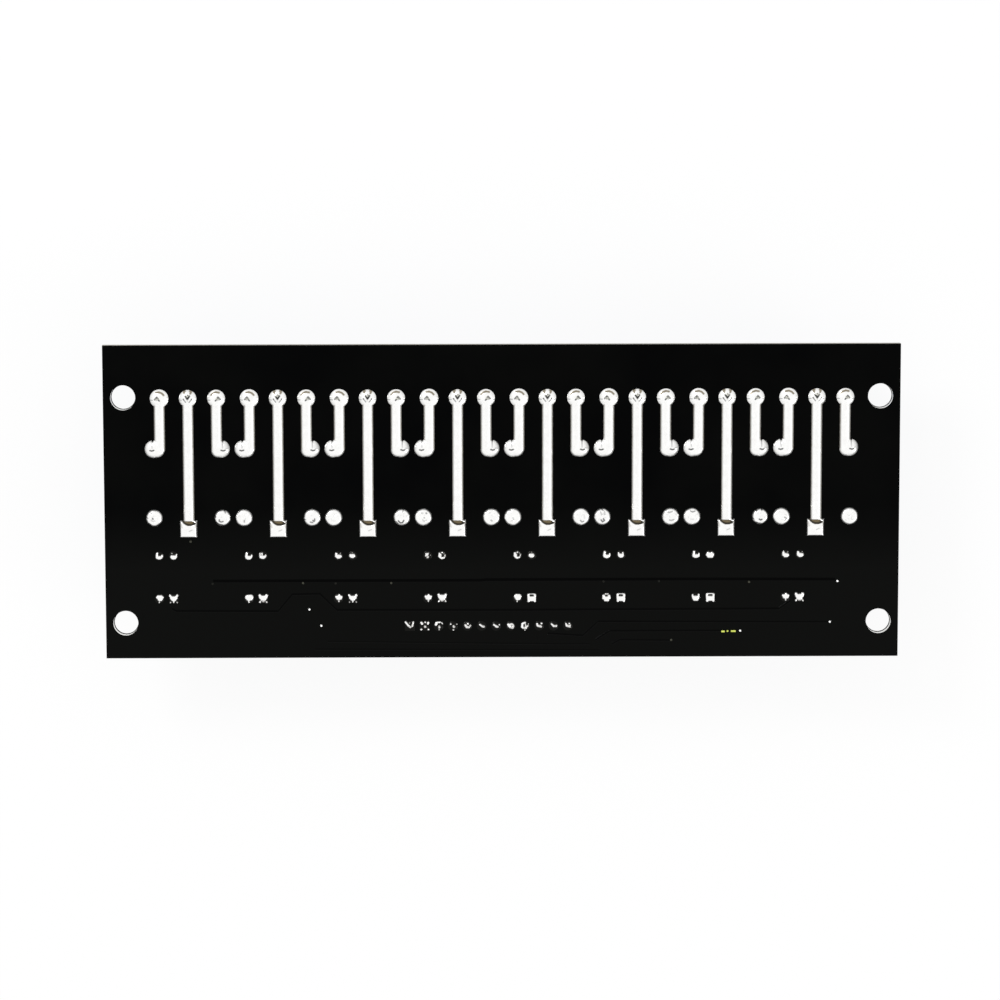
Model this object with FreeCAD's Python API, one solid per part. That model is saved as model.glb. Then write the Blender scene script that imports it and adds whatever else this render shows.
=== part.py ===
import FreeCAD, Part
import math
import os

# Relay module board with eight relays, eight three-way screw terminals and eight optocouplers.
# The board lies on the flat tops of its relays, so its soldered side faces up.
# X runs along the board, Y runs towards the screw terminals and Z points up.
# The origin lies on the resting plane, under the centre of the board.
# All sizes are in millimetres.

# Circuit board
channel_count = 8
board_width = 55.5             # from the header side to the terminal side
board_thickness = 1.6
board_end_margin = 14.77       # centre of the last channel to the end of the board
mount_hole_diameter = 4.4      # room for a 4 mm screw
mount_end_inset = 3.5          # hole centre to the end of the board
mount_terminal_inset = 9.2     # hole centre to the edge on the terminal side
mount_header_inset = 6.3       # hole centre to the edge on the header side
lead_clearance = 0.12          # room round a lead in its hole, on each side

# Relay
coil_pin_span = 12.0
coil_pin_side_inset = 1.7      # coil pin centre to the side of the relay
common_pin_inset = 2.5         # common pin centre to the end of the relay
common_to_coil = 2.0
coil_to_contact = 12.2
contact_pin_inset = 2.5        # contact pin centre to the other end of the relay
relay_height = 15.5
relay_edge_chamfer = 0.6
relay_gap = 0.38               # between two relays
relay_standoff = 0.3           # the base stands proud of the case by this much
relay_base_depth = 1.2
relay_case_wall = 0.7
relay_base_clearance = 0.05
contact_pin_width = 1.1
contact_pin_thickness = 0.5
coil_pin_width = 0.8
coil_pin_thickness = 0.6

# Screw terminal
terminal_ways = 3
terminal_pitch = 5.0
terminal_shift = 0.1           # middle way beside the centre line of its relay
terminal_gap = 0.4             # least room between two terminal blocks
terminal_pin_width = 0.9
terminal_pin_thickness = 0.6
terminal_pin_stand = 1.4       # tips above the soldered face
block_height = 10.0
block_back_wall = 1.3
block_front_wall = 1.6
block_lip_height = 5.6         # upright part of the front, from the board
block_top_setback = 0.9        # the sloping front leans back by this much
block_chamfer = 0.5
port_width = 3.0
port_height = 3.6
port_sill = 1.3                # sill of the wire port above the board
chamber_width = 3.7
cage_clearance = 0.1
cage_wall = 0.55
cage_depth = 4.0
cage_height = 5.2
cage_lift = 1.0                # cage above the board
cage_headroom = 1.2            # between the cage and the screw head
screw_well_diameter = 4.4
screw_head_diameter = 4.1
screw_head_height = 1.5
screw_shank_diameter = 2.3
screw_slot_width = 0.6
screw_slot_depth = 0.7
screw_slot_overrun = 0.8       # the saw leaves the head by half of this on each side
screw_tip_clearance = 0.2      # between the tip of the screw and the tongue
tongue_thickness = 0.5
tongue_drop = 0.5              # tongue under the roof of the cage
tongue_setback = 0.5           # tongue behind the front of the cage

# Optocoupler, four leads
opto_lead_pitch = 2.54
opto_row_spacing = 7.62
opto_length = 6.5
opto_end_margin = 1.03         # lead centre to the side of the body
opto_height = 3.5
opto_draft = 0.25
opto_standoff = 0.4
opto_shift = -4.0              # beside the centre line of the relay
opto_lead_width = 0.5
opto_lead_thickness = 0.25

# Pin headers
header_ways = 10
jumper_ways = 2
header_pitch = 2.54
header_strip_height = 2.5
header_strip_width = 2.5
header_notch = 0.4
header_pin_width = 0.64
header_pin_length = 6.0        # beyond the plastic strip
header_shift = -2.4            # middle of the whole row beside the centre of the board
jumper_cap_wall = 0.7
jumper_cap_clearance = 0.05

# Small surface parts
transistor_length = 2.9
transistor_width = 1.3
transistor_height = 1.0
transistor_leg_width = 0.4
transistor_leg_reach = 0.55
transistor_leg_thickness = 0.15
diode_length = 4.3
diode_width = 2.6
diode_height = 2.0
diode_tab_width = 1.4
diode_tab_reach = 0.5
diode_tab_thickness = 0.2
chip_length = 2.0
chip_width = 1.25
resistor_height = 0.5
led_height = 0.8
opto_to_near_parts = 2.9       # side of the optocoupler to the first column of small parts
near_to_far_parts = 4.2        # first to second column
header_to_lamp = 4.2           # side of the header to the power lamp
lamp_to_resistor = 3.5

# Rows across the board
header_edge_inset = 5.6        # header row to the edge of the board
header_to_opto = 5.0
opto_to_relay = 2.31
relay_to_block = 4.8

# Solder on the upper face
terminal_joint_diameter = 3.2
relay_joint_diameter = 3.05
coil_joint_diameter = 2.9
common_joint_width = 3.0
small_joint_diameter = 1.6
large_joint_height = 1.1
small_joint_height = 0.8
joint_top_share = 0.55         # width of a joint's top as a share of its foot
outer_bar_width = 1.85
bar_overrun = 1.2              # an outer track runs past the relay pins by this much
common_bar_width = 1.85
bar_height = 0.5
bar_crown_share = 0.5          # width of the flat crown as a share of the bar
square = 4                     # sides of a square joint
large_joint_sides = 10
small_joint_sides = 6
screw_sides = 8
shank_sides = 6

# Sizes that follow from the ones above
relay_width = coil_pin_span + 2 * coil_pin_side_inset
relay_length = common_pin_inset + common_to_coil + coil_to_contact + contact_pin_inset
block_width = terminal_ways * terminal_pitch
chamber_depth = terminal_pin_thickness + 2 * cage_clearance + cage_depth
chamber_height = cage_lift + cage_height + cage_headroom
block_depth = block_back_wall + chamber_depth + block_front_wall
near_column = opto_shift + opto_lead_pitch / 2 + opto_end_margin + opto_to_near_parts
far_column = near_column + near_to_far_parts
header_half = (jumper_ways + header_ways) * header_pitch / 2
power_lamp_place = header_shift + header_half + header_to_lamp
power_resistor_place = power_lamp_place + lamp_to_resistor
channel_pitch = max(relay_width + relay_gap, block_width + terminal_gap)
board_length = (channel_count - 1) * channel_pitch + 2 * board_end_margin

board_under = relay_height + relay_standoff
board_top = board_under + board_thickness
pin_tip = board_top + terminal_pin_stand

header_row = header_edge_inset - board_width / 2
opto_low_row = header_row + header_to_opto
opto_high_row = opto_low_row + opto_row_spacing
opto_row = (opto_low_row + opto_high_row) / 2
relay_low_end = opto_high_row + opto_to_relay
common_row = relay_low_end + common_pin_inset
coil_row = common_row + common_to_coil
contact_row = coil_row + coil_to_contact
relay_high_end = relay_low_end + relay_length
block_back = relay_high_end + relay_to_block
chamber_back = block_back + block_back_wall
terminal_row = chamber_back + terminal_pin_thickness / 2
screw_row = chamber_back + terminal_pin_thickness + cage_clearance + cage_depth / 2
block_front = block_back + block_depth


def vector(x, y, z):
    return FreeCAD.Vector(x, y, z)


def brick(x, y, size_x, size_y, z_low, z_high):
    """A box centred on x and y, between two heights."""
    corner = vector(x - size_x / 2, y - size_y / 2, z_low)
    return Part.makeBox(size_x, size_y, z_high - z_low, corner)


def prism_along_x(outline, x_low, x_high):
    """A solid with a y, z outline, drawn out along X."""
    face = flat_face([vector(x_low, y, z) for y, z in outline])
    return face.extrude(vector(x_high - x_low, 0, 0))


def prism_along_y(outline, y_low, y_high):
    """A solid with an x, z outline, drawn out along Y."""
    face = flat_face([vector(x, y_low, z) for x, z in outline])
    return face.extrude(vector(0, y_high - y_low, 0))


def ring(x, y, z, width, sides):
    """Corners of a regular outline that is as wide across its flats as asked."""
    radius = width / 2 / math.cos(math.pi / sides)
    points = []
    for step in range(sides):
        angle = (step + 0.5) * 2 * math.pi / sides
        points.append(vector(x + radius * math.cos(angle), y + radius * math.sin(angle), z))
    return points


def flat_face(points):
    return Part.Face(Part.makePolygon(points + points[:1]))


def column(x, y, width, z_low, z_high, sides):
    return flat_face(ring(x, y, z_low, width, sides)).extrude(vector(0, 0, z_high - z_low))


def mound(x, y, width, height, sides):
    """A solder joint on the upper face of the board, narrower at its top."""
    foot = ring(x, y, board_top, width, sides)
    top = ring(x, y, board_top + height, width * joint_top_share, sides)
    faces = [flat_face(foot), flat_face(top)]
    for step in range(sides):
        after = (step + 1) % sides
        faces.append(flat_face([foot[step], foot[after], top[after], top[step]]))
    return Part.makeSolid(Part.makeShell(faces))


def join(solids):
    return solids[0].fuse(solids[1:]).removeSplitter()


def export(name, solids):
    shape = solids[0] if len(solids) == 1 else Part.makeCompound(solids)
    shape.exportStep("parts/" + name + ".step")


def channel_centres():
    middle = (channel_count - 1) / 2
    return [(index - middle) * channel_pitch for index in range(channel_count)]


def terminal_places(x):
    """The three ways of the terminal beside the relay at x, from left to right."""
    middle = (terminal_ways - 1) / 2
    return [x + terminal_shift + (way - middle) * terminal_pitch for way in range(terminal_ways)]


# Leads of the relays, terminals, optocouplers and headers

def relay_pin_sections(x):
    """Centre and section of the five pins of the relay at x."""
    half = coil_pin_span / 2
    sections = []
    for side in (-half, half):
        sections.append((x + side, contact_row, contact_pin_thickness, contact_pin_width))
        sections.append((x + side, coil_row, coil_pin_thickness, coil_pin_width))
    sections.append((x, common_row, contact_pin_width, contact_pin_thickness))
    return sections


def terminal_pin_sections(x):
    places = terminal_places(x)
    return [(place, terminal_row, terminal_pin_width, terminal_pin_thickness)
            for place in places]


def opto_lead_sections(x):
    sections = []
    for row in (opto_low_row, opto_high_row):
        for side in (-0.5, 0.5):
            place = x + opto_shift + side * opto_lead_pitch
            sections.append((place, row, opto_lead_width, opto_lead_thickness))
    return sections


def header_places():
    count = jumper_ways + header_ways
    first = header_shift - (count - 1) / 2 * header_pitch
    return [first + index * header_pitch for index in range(count)]


def header_pin_sections():
    return [(place, header_row, header_pin_width, header_pin_width) for place in header_places()]


def all_lead_sections():
    sections = header_pin_sections()
    for x in channel_centres():
        sections += relay_pin_sections(x) + terminal_pin_sections(x) + opto_lead_sections(x)
    return sections


# Board

def circuit_board():
    board = brick(0, 0, board_length, board_width, board_under, board_top)
    cuts = []
    for x, y, size_x, size_y in all_lead_sections():
        room = 2 * lead_clearance
        cuts.append(brick(x, y, size_x + room, size_y + room, board_under, board_top))
    for side in (-1, 1):
        x = side * (board_length / 2 - mount_end_inset)
        for y in (board_width / 2 - mount_terminal_inset, mount_header_inset - board_width / 2):
            cuts.append(Part.makeCylinder(mount_hole_diameter / 2, board_thickness,
                                          vector(x, y, board_under)))
    return board.cut(Part.makeCompound(cuts))


# Solder: the thick tinned tracks with the joints at both of their ends

def bar(x, width, y_low, y_high):
    """A tinned track with sloping shoulders and a flat crown."""
    foot = width / 2
    crown = foot * bar_crown_share
    high = board_top + bar_height
    outline = [(x - foot, board_top), (x + foot, board_top), (x + crown, high), (x - crown, high)]
    return prism_along_y(outline, y_low, y_high)


def load_track(place, width, end, relay_joint):
    """One mass of solder: the joint of a terminal pin, a track and the joint of a relay pin."""
    head = mound(place, terminal_row, terminal_joint_diameter, large_joint_height,
                 large_joint_sides)
    track = join([head, bar(place, width, end, terminal_row), relay_joint])
    return track.cut(brick(place, terminal_row, terminal_pin_width, terminal_pin_thickness,
                           board_top, pin_tip))


def load_tracks(x):
    """Left, right and middle track of a channel."""
    left, middle, right = terminal_places(x)
    tracks = []
    for place, side in ((left, -1), (right, 1)):
        foot = mound(x + side * coil_pin_span / 2, contact_row, relay_joint_diameter,
                     large_joint_height, large_joint_sides)
        tracks.append(load_track(place, outer_bar_width, contact_row - bar_overrun, foot))
    foot = mound(x, common_row, common_joint_width, large_joint_height, square)
    tracks.append(load_track(middle, common_bar_width, common_row, foot))
    return tracks


def coil_joints(x):
    return [mound(x + side * coil_pin_span / 2, coil_row, coil_joint_diameter,
                  large_joint_height, large_joint_sides) for side in (-1, 1)]


def opto_joints(x):
    """Joints over the lead ends, with a square pad at the first lead."""
    joints = []
    for index, (place, row, _, _) in enumerate(opto_lead_sections(x)):
        sides = square if index == 1 else small_joint_sides
        joints.append(mound(place, row, small_joint_diameter, small_joint_height, sides))
    return joints


def header_joints():
    joints = []
    for index, place in enumerate(header_places()):
        sides = square if index < jumper_ways else small_joint_sides
        joints.append(mound(place, header_row, small_joint_diameter, small_joint_height, sides))
    return joints


# Relays

def relay_case(x):
    """A moulded cover with broken edges, open on the pin side for its base."""
    y = (relay_low_end + relay_high_end) / 2
    case = brick(x, y, relay_width, relay_length, 0, relay_height)
    edges = [edge for edge in case.Edges if edge.BoundBox.ZMin < relay_height / 2]
    case = case.makeChamfer(relay_edge_chamfer, edges)
    pocket = brick(x, y, relay_width - 2 * relay_case_wall, relay_length - 2 * relay_case_wall,
                   relay_height - relay_base_depth, relay_height)
    return case.cut(pocket)


def relay_base(x):
    y = (relay_low_end + relay_high_end) / 2
    inset = 2 * (relay_case_wall + relay_base_clearance)
    return brick(x, y, relay_width - inset, relay_length - inset,
                 relay_height - relay_base_depth, board_under)


def relay_pins(x):
    """Pins from the base to the upper face, where their joints cover them."""
    return [brick(*section, board_under, board_top) for section in relay_pin_sections(x)]


# Screw terminals, with the heights given from the board

def level(height):
    return board_under - height


def terminal_block(x):
    """A moulded block with, for each way, a wire port, a screw well and a chamber."""
    half = block_width / 2
    centre = x + terminal_shift
    outline = [(block_back, level(0)), (block_front, level(0)),
               (block_front, level(block_lip_height)),
               (block_front - block_top_setback, level(block_height)),
               (block_back + block_chamfer, level(block_height)),
               (block_back, level(block_height - block_chamfer))]
    body = prism_along_x(outline, centre - half, centre + half)
    cuts = []
    for place in terminal_places(x):
        cuts.append(brick(place, chamber_back + chamber_depth / 2, chamber_width, chamber_depth,
                          level(chamber_height), level(0)))
        cuts.append(brick(place, (screw_row + block_front) / 2, port_width,
                          block_front - screw_row, level(port_sill + port_height),
                          level(port_sill)))
        cuts.append(column(place, screw_row, screw_well_diameter, level(block_height),
                           level(chamber_height), screw_sides))
    return body.cut(Part.makeCompound(cuts))


def terminal_screws(x):
    """Slotted screws, with their heads seated on the rim of the chamber."""
    seat = level(chamber_height)
    face = seat - screw_head_height
    tip = level(tongue_height() + screw_tip_clearance)
    screws = []
    for place in terminal_places(x):
        head = column(place, screw_row, screw_head_diameter, face, seat, screw_sides)
        slot = brick(place, screw_row, screw_head_diameter + screw_slot_overrun,
                     screw_slot_width, face, face + screw_slot_depth)
        shank = column(place, screw_row, screw_shank_diameter, seat, tip, shank_sides)
        screws.append(join([head.cut(slot), shank]))
    return screws


def tongue_height():
    """Upper face of the tongue above the board."""
    return cage_lift + cage_height - cage_wall - tongue_drop


def terminal_cages(x):
    """Rising cages, open along the wire, with the screw through the roof."""
    width = chamber_width - 2 * cage_clearance
    roof = cage_lift + cage_height
    cages = []
    for place in terminal_places(x):
        cage = brick(place, screw_row, width, cage_depth, level(roof), level(cage_lift))
        window = brick(place, screw_row, width - 2 * cage_wall, cage_depth,
                       level(roof - cage_wall), level(cage_lift + cage_wall))
        thread = column(place, screw_row, screw_shank_diameter, level(roof),
                        level(roof - cage_wall), shank_sides)
        cages.append(cage.cut(Part.makeCompound([window, thread])))
    return cages


def terminal_pins(x):
    """Flat pins that rise behind the cage and bend forward through its window."""
    back = terminal_row - terminal_pin_thickness / 2
    front = terminal_row + terminal_pin_thickness / 2
    end = screw_row + cage_depth / 2 - tongue_setback
    top = level(tongue_height())
    outline = [(back, pin_tip), (front, pin_tip), (front, top + tongue_thickness),
               (end, top + tongue_thickness), (end, top), (back, top)]
    half = terminal_pin_width / 2
    return [prism_along_x(outline, place - half, place + half) for place in terminal_places(x)]


# Optocouplers

def optocoupler(x):
    """A moulded body with a flat band at its parting line, where the leads come out."""
    half = opto_lead_pitch / 2 + opto_end_margin
    side = opto_length / 2
    middle = opto_standoff + opto_height / 2
    band = opto_lead_thickness / 2
    right = [(opto_row + side - opto_draft, level(opto_standoff)),
             (opto_row + side, level(middle - band)), (opto_row + side, level(middle + band)),
             (opto_row + side - opto_draft, level(opto_standoff + opto_height))]
    left = [(2 * opto_row - y, z) for y, z in reversed(right)]
    centre = x + opto_shift
    return prism_along_x(right + left, centre - half, centre + half)


def optocoupler_leads(x):
    """Leads that leave the body at mid height and turn through the board."""
    middle = level(opto_standoff + opto_height / 2)
    half = opto_lead_thickness / 2
    leads = []
    for place, row, width, _ in opto_lead_sections(x):
        out = 1 if row > opto_row else -1
        body_side = opto_row + out * opto_length / 2
        outline = [(body_side, middle - half), (row + out * half, middle - half),
                   (row + out * half, board_top), (row - out * half, board_top),
                   (row - out * half, middle + half), (body_side, middle + half)]
        leads.append(prism_along_x(outline, place - width / 2, place + width / 2))
    return leads


# Pin headers

def header_strip(places):
    """A moulded strip with notched sides, pressed over its pins."""
    half_way = header_pitch / 2
    half = header_strip_width / 2
    lower = []
    for place in places:
        lower += [(place - half_way, half - header_notch), (place - half_way + header_notch, half),
                  (place + half_way - header_notch, half), (place + half_way, half - header_notch)]
    outline = []
    for x, y in [(x, -y) for x, y in lower] + list(reversed(lower)):
        if (x, y) not in outline:
            outline.append((x, y))
    low = level(header_strip_height)
    strip = flat_face([vector(x, header_row + y, low) for x, y in outline])
    strip = strip.extrude(vector(0, 0, header_strip_height))
    bores = [brick(place, header_row, header_pin_width, header_pin_width,
                   level(header_strip_height), level(0)) for place in places]
    return strip.cut(Part.makeCompound(bores))


def header_pins():
    low = level(header_strip_height + header_pin_length)
    return [brick(*section, low, board_top) for section in header_pin_sections()]


def jumper_cap():
    """A cap that bridges the first two pins and rests on their strip."""
    places = header_places()[:jumper_ways]
    width = jumper_ways * header_pitch - header_notch
    roof = header_strip_height + header_pin_length + jumper_cap_wall
    cap = brick(sum(places) / jumper_ways, header_row, width, header_strip_width,
                level(roof), level(header_strip_height))
    bore = header_pin_width + 2 * jumper_cap_clearance
    depth = header_strip_height + header_pin_length
    bores = [brick(place, header_row, bore, bore, level(depth), level(header_strip_height))
             for place in places]
    return cap.cut(Part.makeCompound(bores))


# Surface parts beside each optocoupler, and the power lamp beside the header

def transistor(x):
    return brick(x + near_column, opto_high_row, transistor_width, transistor_length,
                 level(transistor_height), level(0))


def transistor_legs(x):
    """Two legs on one side of the transistor and one on the other."""
    reach = transistor_leg_reach
    side = (transistor_width + reach) / 2
    spread = transistor_length / 2 - transistor_leg_width
    places = [(-side, -spread), (-side, spread), (side, 0)]
    return [brick(x + near_column + across, opto_high_row + along, reach, transistor_leg_width,
                  level(transistor_leg_thickness), level(0)) for across, along in places]


def diode(x):
    return brick(x + far_column, opto_high_row, diode_length, diode_width,
                 level(diode_height), level(0))


def diode_tabs(x):
    offset = (diode_length + diode_tab_reach) / 2
    return [brick(x + far_column + side * offset, opto_high_row, diode_tab_reach, diode_tab_width,
                  level(diode_tab_thickness), level(0)) for side in (-1, 1)]


def chip(x, y, height):
    return brick(x, y, chip_length, chip_width, level(height), level(0))


def resistors():
    """Two beside each optocoupler and one for the power lamp."""
    chips = [chip(power_resistor_place, header_row, resistor_height)]
    for x in channel_centres():
        chips.append(chip(x + near_column, opto_row, resistor_height))
        chips.append(chip(x + near_column, opto_low_row, resistor_height))
    return chips


def lamps():
    chips = [chip(power_lamp_place, header_row, led_height)]
    for x in channel_centres():
        chips.append(chip(x + far_column, opto_low_row, led_height))
    return chips


def gather(make):
    """What a function makes for each channel, in one list."""
    pieces = []
    for x in channel_centres():
        pieces += make(x)
    return pieces


os.makedirs("parts", exist_ok=True)
centres = channel_centres()
for number, x in enumerate(centres, start=1):
    export("relay_case_%d" % number, [relay_case(x)])
    export("terminal_block_%d" % number, [terminal_block(x)])
    export("optocoupler_%d" % number, [optocoupler(x)])
export("circuit_board", [circuit_board()])
export("load_tracks", gather(load_tracks))
export("coil_joints", gather(coil_joints))
export("optocoupler_joints", gather(opto_joints))
export("header_joints", header_joints())
export("relay_bases", [relay_base(x) for x in centres])
export("relay_pins", gather(relay_pins))
export("terminal_screws", gather(terminal_screws))
export("terminal_cages", gather(terminal_cages))
export("terminal_pins", gather(terminal_pins))
export("optocoupler_leads", gather(optocoupler_leads))
export("header_strip", [header_strip(header_places()[jumper_ways:])])
export("jumper_strip", [header_strip(header_places()[:jumper_ways])])
export("header_pins", header_pins())
export("jumper_cap", [jumper_cap()])
export("transistors", [transistor(x) for x in centres])
export("transistor_legs", gather(transistor_legs))
export("diodes", [diode(x) for x in centres])
export("diode_tabs", gather(diode_tabs))
export("resistors", resistors())
export("indicator_leds", lamps())
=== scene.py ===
# %% [markdown]
# # A relay module board, seen from its soldered side
#
# The board lies on the flat tops of its eight relays, so the camera looks down on black
# solder mask, thick tinned tracks and more than a hundred solder joints. The construction
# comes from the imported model. This lesson gives every piece its finish, and swaps plain
# solids for detailed meshes where the eye gets close: the solder, the pins, the screws.
# Everything is in metres, and most sizes are read from the model itself.

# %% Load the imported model
import bpy
import bmesh
import itertools
import math
import numpy as np
from mathutils import Matrix, Vector


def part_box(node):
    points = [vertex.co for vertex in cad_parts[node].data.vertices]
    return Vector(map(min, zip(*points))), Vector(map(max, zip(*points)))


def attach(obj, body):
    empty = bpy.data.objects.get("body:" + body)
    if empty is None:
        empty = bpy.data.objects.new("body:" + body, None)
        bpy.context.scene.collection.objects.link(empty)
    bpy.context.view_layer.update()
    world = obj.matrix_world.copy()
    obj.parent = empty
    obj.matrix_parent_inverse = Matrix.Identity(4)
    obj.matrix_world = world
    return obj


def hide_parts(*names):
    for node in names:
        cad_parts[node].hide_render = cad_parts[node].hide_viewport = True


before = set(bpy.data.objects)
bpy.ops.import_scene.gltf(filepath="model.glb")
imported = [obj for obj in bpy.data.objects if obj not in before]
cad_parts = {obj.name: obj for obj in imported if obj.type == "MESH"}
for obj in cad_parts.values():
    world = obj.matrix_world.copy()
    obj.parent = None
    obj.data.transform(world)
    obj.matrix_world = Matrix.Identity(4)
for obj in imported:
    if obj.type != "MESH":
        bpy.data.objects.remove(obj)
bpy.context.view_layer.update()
MM = 0.001
scene = bpy.context.scene
print("nodes in the model:", len(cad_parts))

# %% [markdown]
# ## Reading places from the model
#
# A node such as `coil_joints` holds many separate solids. Each one's box tells where a
# detailed piece has to go. The imported mesh has its corners doubled for flat shading, so
# corners at the same place are joined first, and then faces that share a corner are
# gathered into islands.

# %% Boxes of the separate solids in one node
def islands(name):
    """Lowest and highest corner, in millimetres, of each separate solid of a node."""
    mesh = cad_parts[name].data
    places = np.array([v.co for v in mesh.vertices]) / MM
    _, same = np.unique(np.round(places, 3), axis=0, return_inverse=True)
    same = same.ravel()
    group = list(range(same.max() + 1))

    def root(item):
        while group[item] != item:
            group[item] = group[group[item]]
            item = group[item]
        return item

    for face in mesh.polygons:
        first = root(same[face.vertices[0]])
        for vertex in face.vertices[1:]:
            group[root(same[vertex])] = first
    found = {}
    for index, place in enumerate(places):
        found.setdefault(root(same[index]), []).append(place)
    boxes = [(np.min(points, axis=0), np.max(points, axis=0)) for points in found.values()]
    return sorted(boxes, key=lambda box: (round(box[0][0] + box[1][0], 2), -box[0][1]))


def node_box(name):
    """Lowest and highest corner, in millimetres, of a whole node."""
    return [np.array(corner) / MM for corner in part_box(name)]


def middle(box):
    """The centre of a box."""
    return (box[0] + box[1]) / 2


def left_to_right(places):
    """The places in the order of their X."""
    return sorted(places, key=lambda place: place[0])


def long_axis(low, high):
    """The longer side of a box as seen from above, 0 for X and 1 for Y."""
    return 0 if high[0] - low[0] > high[1] - low[1] else 1


board_low, board_high = node_box("circuit_board")
BOARD_TOP = board_high[2]
BOARD_UNDER = board_low[2]
NUMBERS = range(1, 9)              # the numbers of the eight channels
CHANNELS = [middle(node_box("relay_case_%d" % number))[0] for number in NUMBERS]
print("soldered face at %.1f mm, channels at" % BOARD_TOP, [round(x, 1) for x in CHANNELS])

# %% [markdown]
# ## The camera
#
# The photograph was taken from almost straight above, leaning a little towards the screw
# terminals: the lower walls of the four holes show, and the upper edge of the board is a
# touch longer than the lower one. Fitting the corners, the holes and the joints gave the
# lean, the distance and the scale below.

# %% Place the camera
LEAN = math.radians(7.4)           # towards the terminal side
SIDE_LEAN = math.radians(0.48)
ROLL = math.radians(0.17)
CAMERA_DISTANCE = 0.685
AIM_OFFSET = (0.00037, -0.00029)   # board centre beside the middle of the picture
PIXELS_PER_METRE = 5679.0          # at the soldered face
PICTURE_WIDTH = 1000
SENSOR = 36.0

turn = (Matrix.Rotation(ROLL, 3, "Z") @ Matrix.Rotation(SIDE_LEAN, 3, "Y")
        @ Matrix.Rotation(LEAN, 3, "X")).transposed()
eye = turn @ Vector((-AIM_OFFSET[0], -AIM_OFFSET[1], CAMERA_DISTANCE))
camera_data = bpy.data.cameras.new("camera")
camera_data.sensor_width = SENSOR
camera_data.lens = PIXELS_PER_METRE * CAMERA_DISTANCE * SENSOR / PICTURE_WIDTH
camera_data.clip_start = 0.01
camera_data.clip_end = 20
camera = bpy.data.objects.new("camera", camera_data)
scene.collection.objects.link(camera)
camera.matrix_world = Matrix.Translation(eye + Vector((0, 0, BOARD_TOP * MM))) @ turn.to_4x4()
scene.camera = camera
print("lens %.1f mm" % camera_data.lens)

# %% [markdown]
# ## Working with nodes
#
# The world, every material and every shared effect is a tree of nodes. Building a tree in
# code is many small steps: place a node, set a value on a socket, join two sockets. Each
# helper below does one of them, so that the later cells read like a recipe. Wherever a
# helper takes a value, it may be a number, a colour or the socket of another node. The two
# numbers x and y are the place on the node editor's sheet.

# %% Helpers for node trees
def node(tree, kind, x=0, y=0, **settings):
    """Places a node and sets its properties."""
    made = tree.nodes.new(kind)
    made.location = (x, y)
    for key, value in settings.items():
        setattr(made, key, value)
    return made


def feed(tree, socket, value):
    """Joins a socket to another one, or sets a number or a colour on it."""
    if isinstance(value, bpy.types.NodeSocket):
        tree.links.new(value, socket)
    elif socket.type == "RGBA":
        socket.default_value = (value[0], value[1], value[2], 1.0)
    else:
        socket.default_value = value


def maths(tree, operation, x, y, *values, **settings):
    """Sums up values with a math node, and gives the socket with the result."""
    made = node(tree, "ShaderNodeMath", x, y, operation=operation, **settings)
    for socket, value in zip(made.inputs, values):
        feed(tree, socket, value)
    return made.outputs[0]


def stretched(tree, x, y, value, low, high, new_low=0.0, new_high=1.0, kind="LINEAR"):
    """Stretches the values from low to high over a new range."""
    made = node(tree, "ShaderNodeMapRange", x, y, interpolation_type=kind)
    feed(tree, made.inputs["Value"], value)
    feed(tree, made.inputs["From Min"], low)
    feed(tree, made.inputs["From Max"], high)
    feed(tree, made.inputs["To Min"], new_low)
    feed(tree, made.inputs["To Max"], new_high)
    return made.outputs[0]


def mixed(tree, x, y, amount, under, over, kind="RGBA"):
    """Mixes one colour or number over another by an amount."""
    made = node(tree, "ShaderNodeMix", x, y, data_type=kind)
    feed(tree, made.inputs["Factor"], amount)
    feed(tree, made.inputs["A"], under)
    feed(tree, made.inputs["B"], over)
    return made.outputs["Result"]


def split_up(tree, x, y, vector):
    """Takes a vector apart into X, Y and Z."""
    made = node(tree, "ShaderNodeSeparateXYZ", x, y)
    feed(tree, made.inputs[0], vector)
    return made.outputs


print("helpers:", [helper.__name__ for helper in (node, feed, maths, stretched, mixed, split_up)])

# %% [markdown]
# ## Light
#
# Solder is a mirror, so it shows the room. A bright, even studio gives it the white of the
# photograph, and the black board that its steep sides reflect gives it the dark accents.
# The world is therefore bright overhead and a little dimmer near the horizon. The camera
# sees it as plain white, and only light that bounces is dimmed. Two large soft lamps add
# direction for the views from the side.

# %% World and lamps
WORLD_LIGHT = 0.62
HORIZON_SHARE = 0.80               # brightness of the horizon beside the sky overhead

world = bpy.data.worlds.new("studio")
scene.world = world
world.use_nodes = True
tree = world.node_tree
tree.nodes.clear()
rays = node(tree, "ShaderNodeLightPath", -1100, 300).outputs
direction = node(tree, "ShaderNodeTexCoord", -1100, -100)
height = split_up(tree, -920, -100, direction.outputs["Generated"])["Z"]
sky = stretched(tree, -740, -100, height, -0.05, 0.65, HORIZON_SHARE, 1.0, "SMOOTHSTEP")
level = mixed(tree, -380, 100, rays["Is Glossy Ray"], WORLD_LIGHT, 1.0, "FLOAT")
dimmed = maths(tree, "MULTIPLY", -200, 0, sky, level)
direct = maths(tree, "MAXIMUM", -380, 300, rays["Is Camera Ray"], rays["Is Transmission Ray"])
background = node(tree, "ShaderNodeBackground", 180, 100)
feed(tree, background.inputs["Color"], (1, 1, 1))
feed(tree, background.inputs["Strength"], mixed(tree, -20, 100, direct, dimmed, 1.0, "FLOAT"))
output = node(tree, "ShaderNodeOutputWorld", 360, 100)
feed(tree, output.inputs[0], background.outputs[0])


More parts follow.
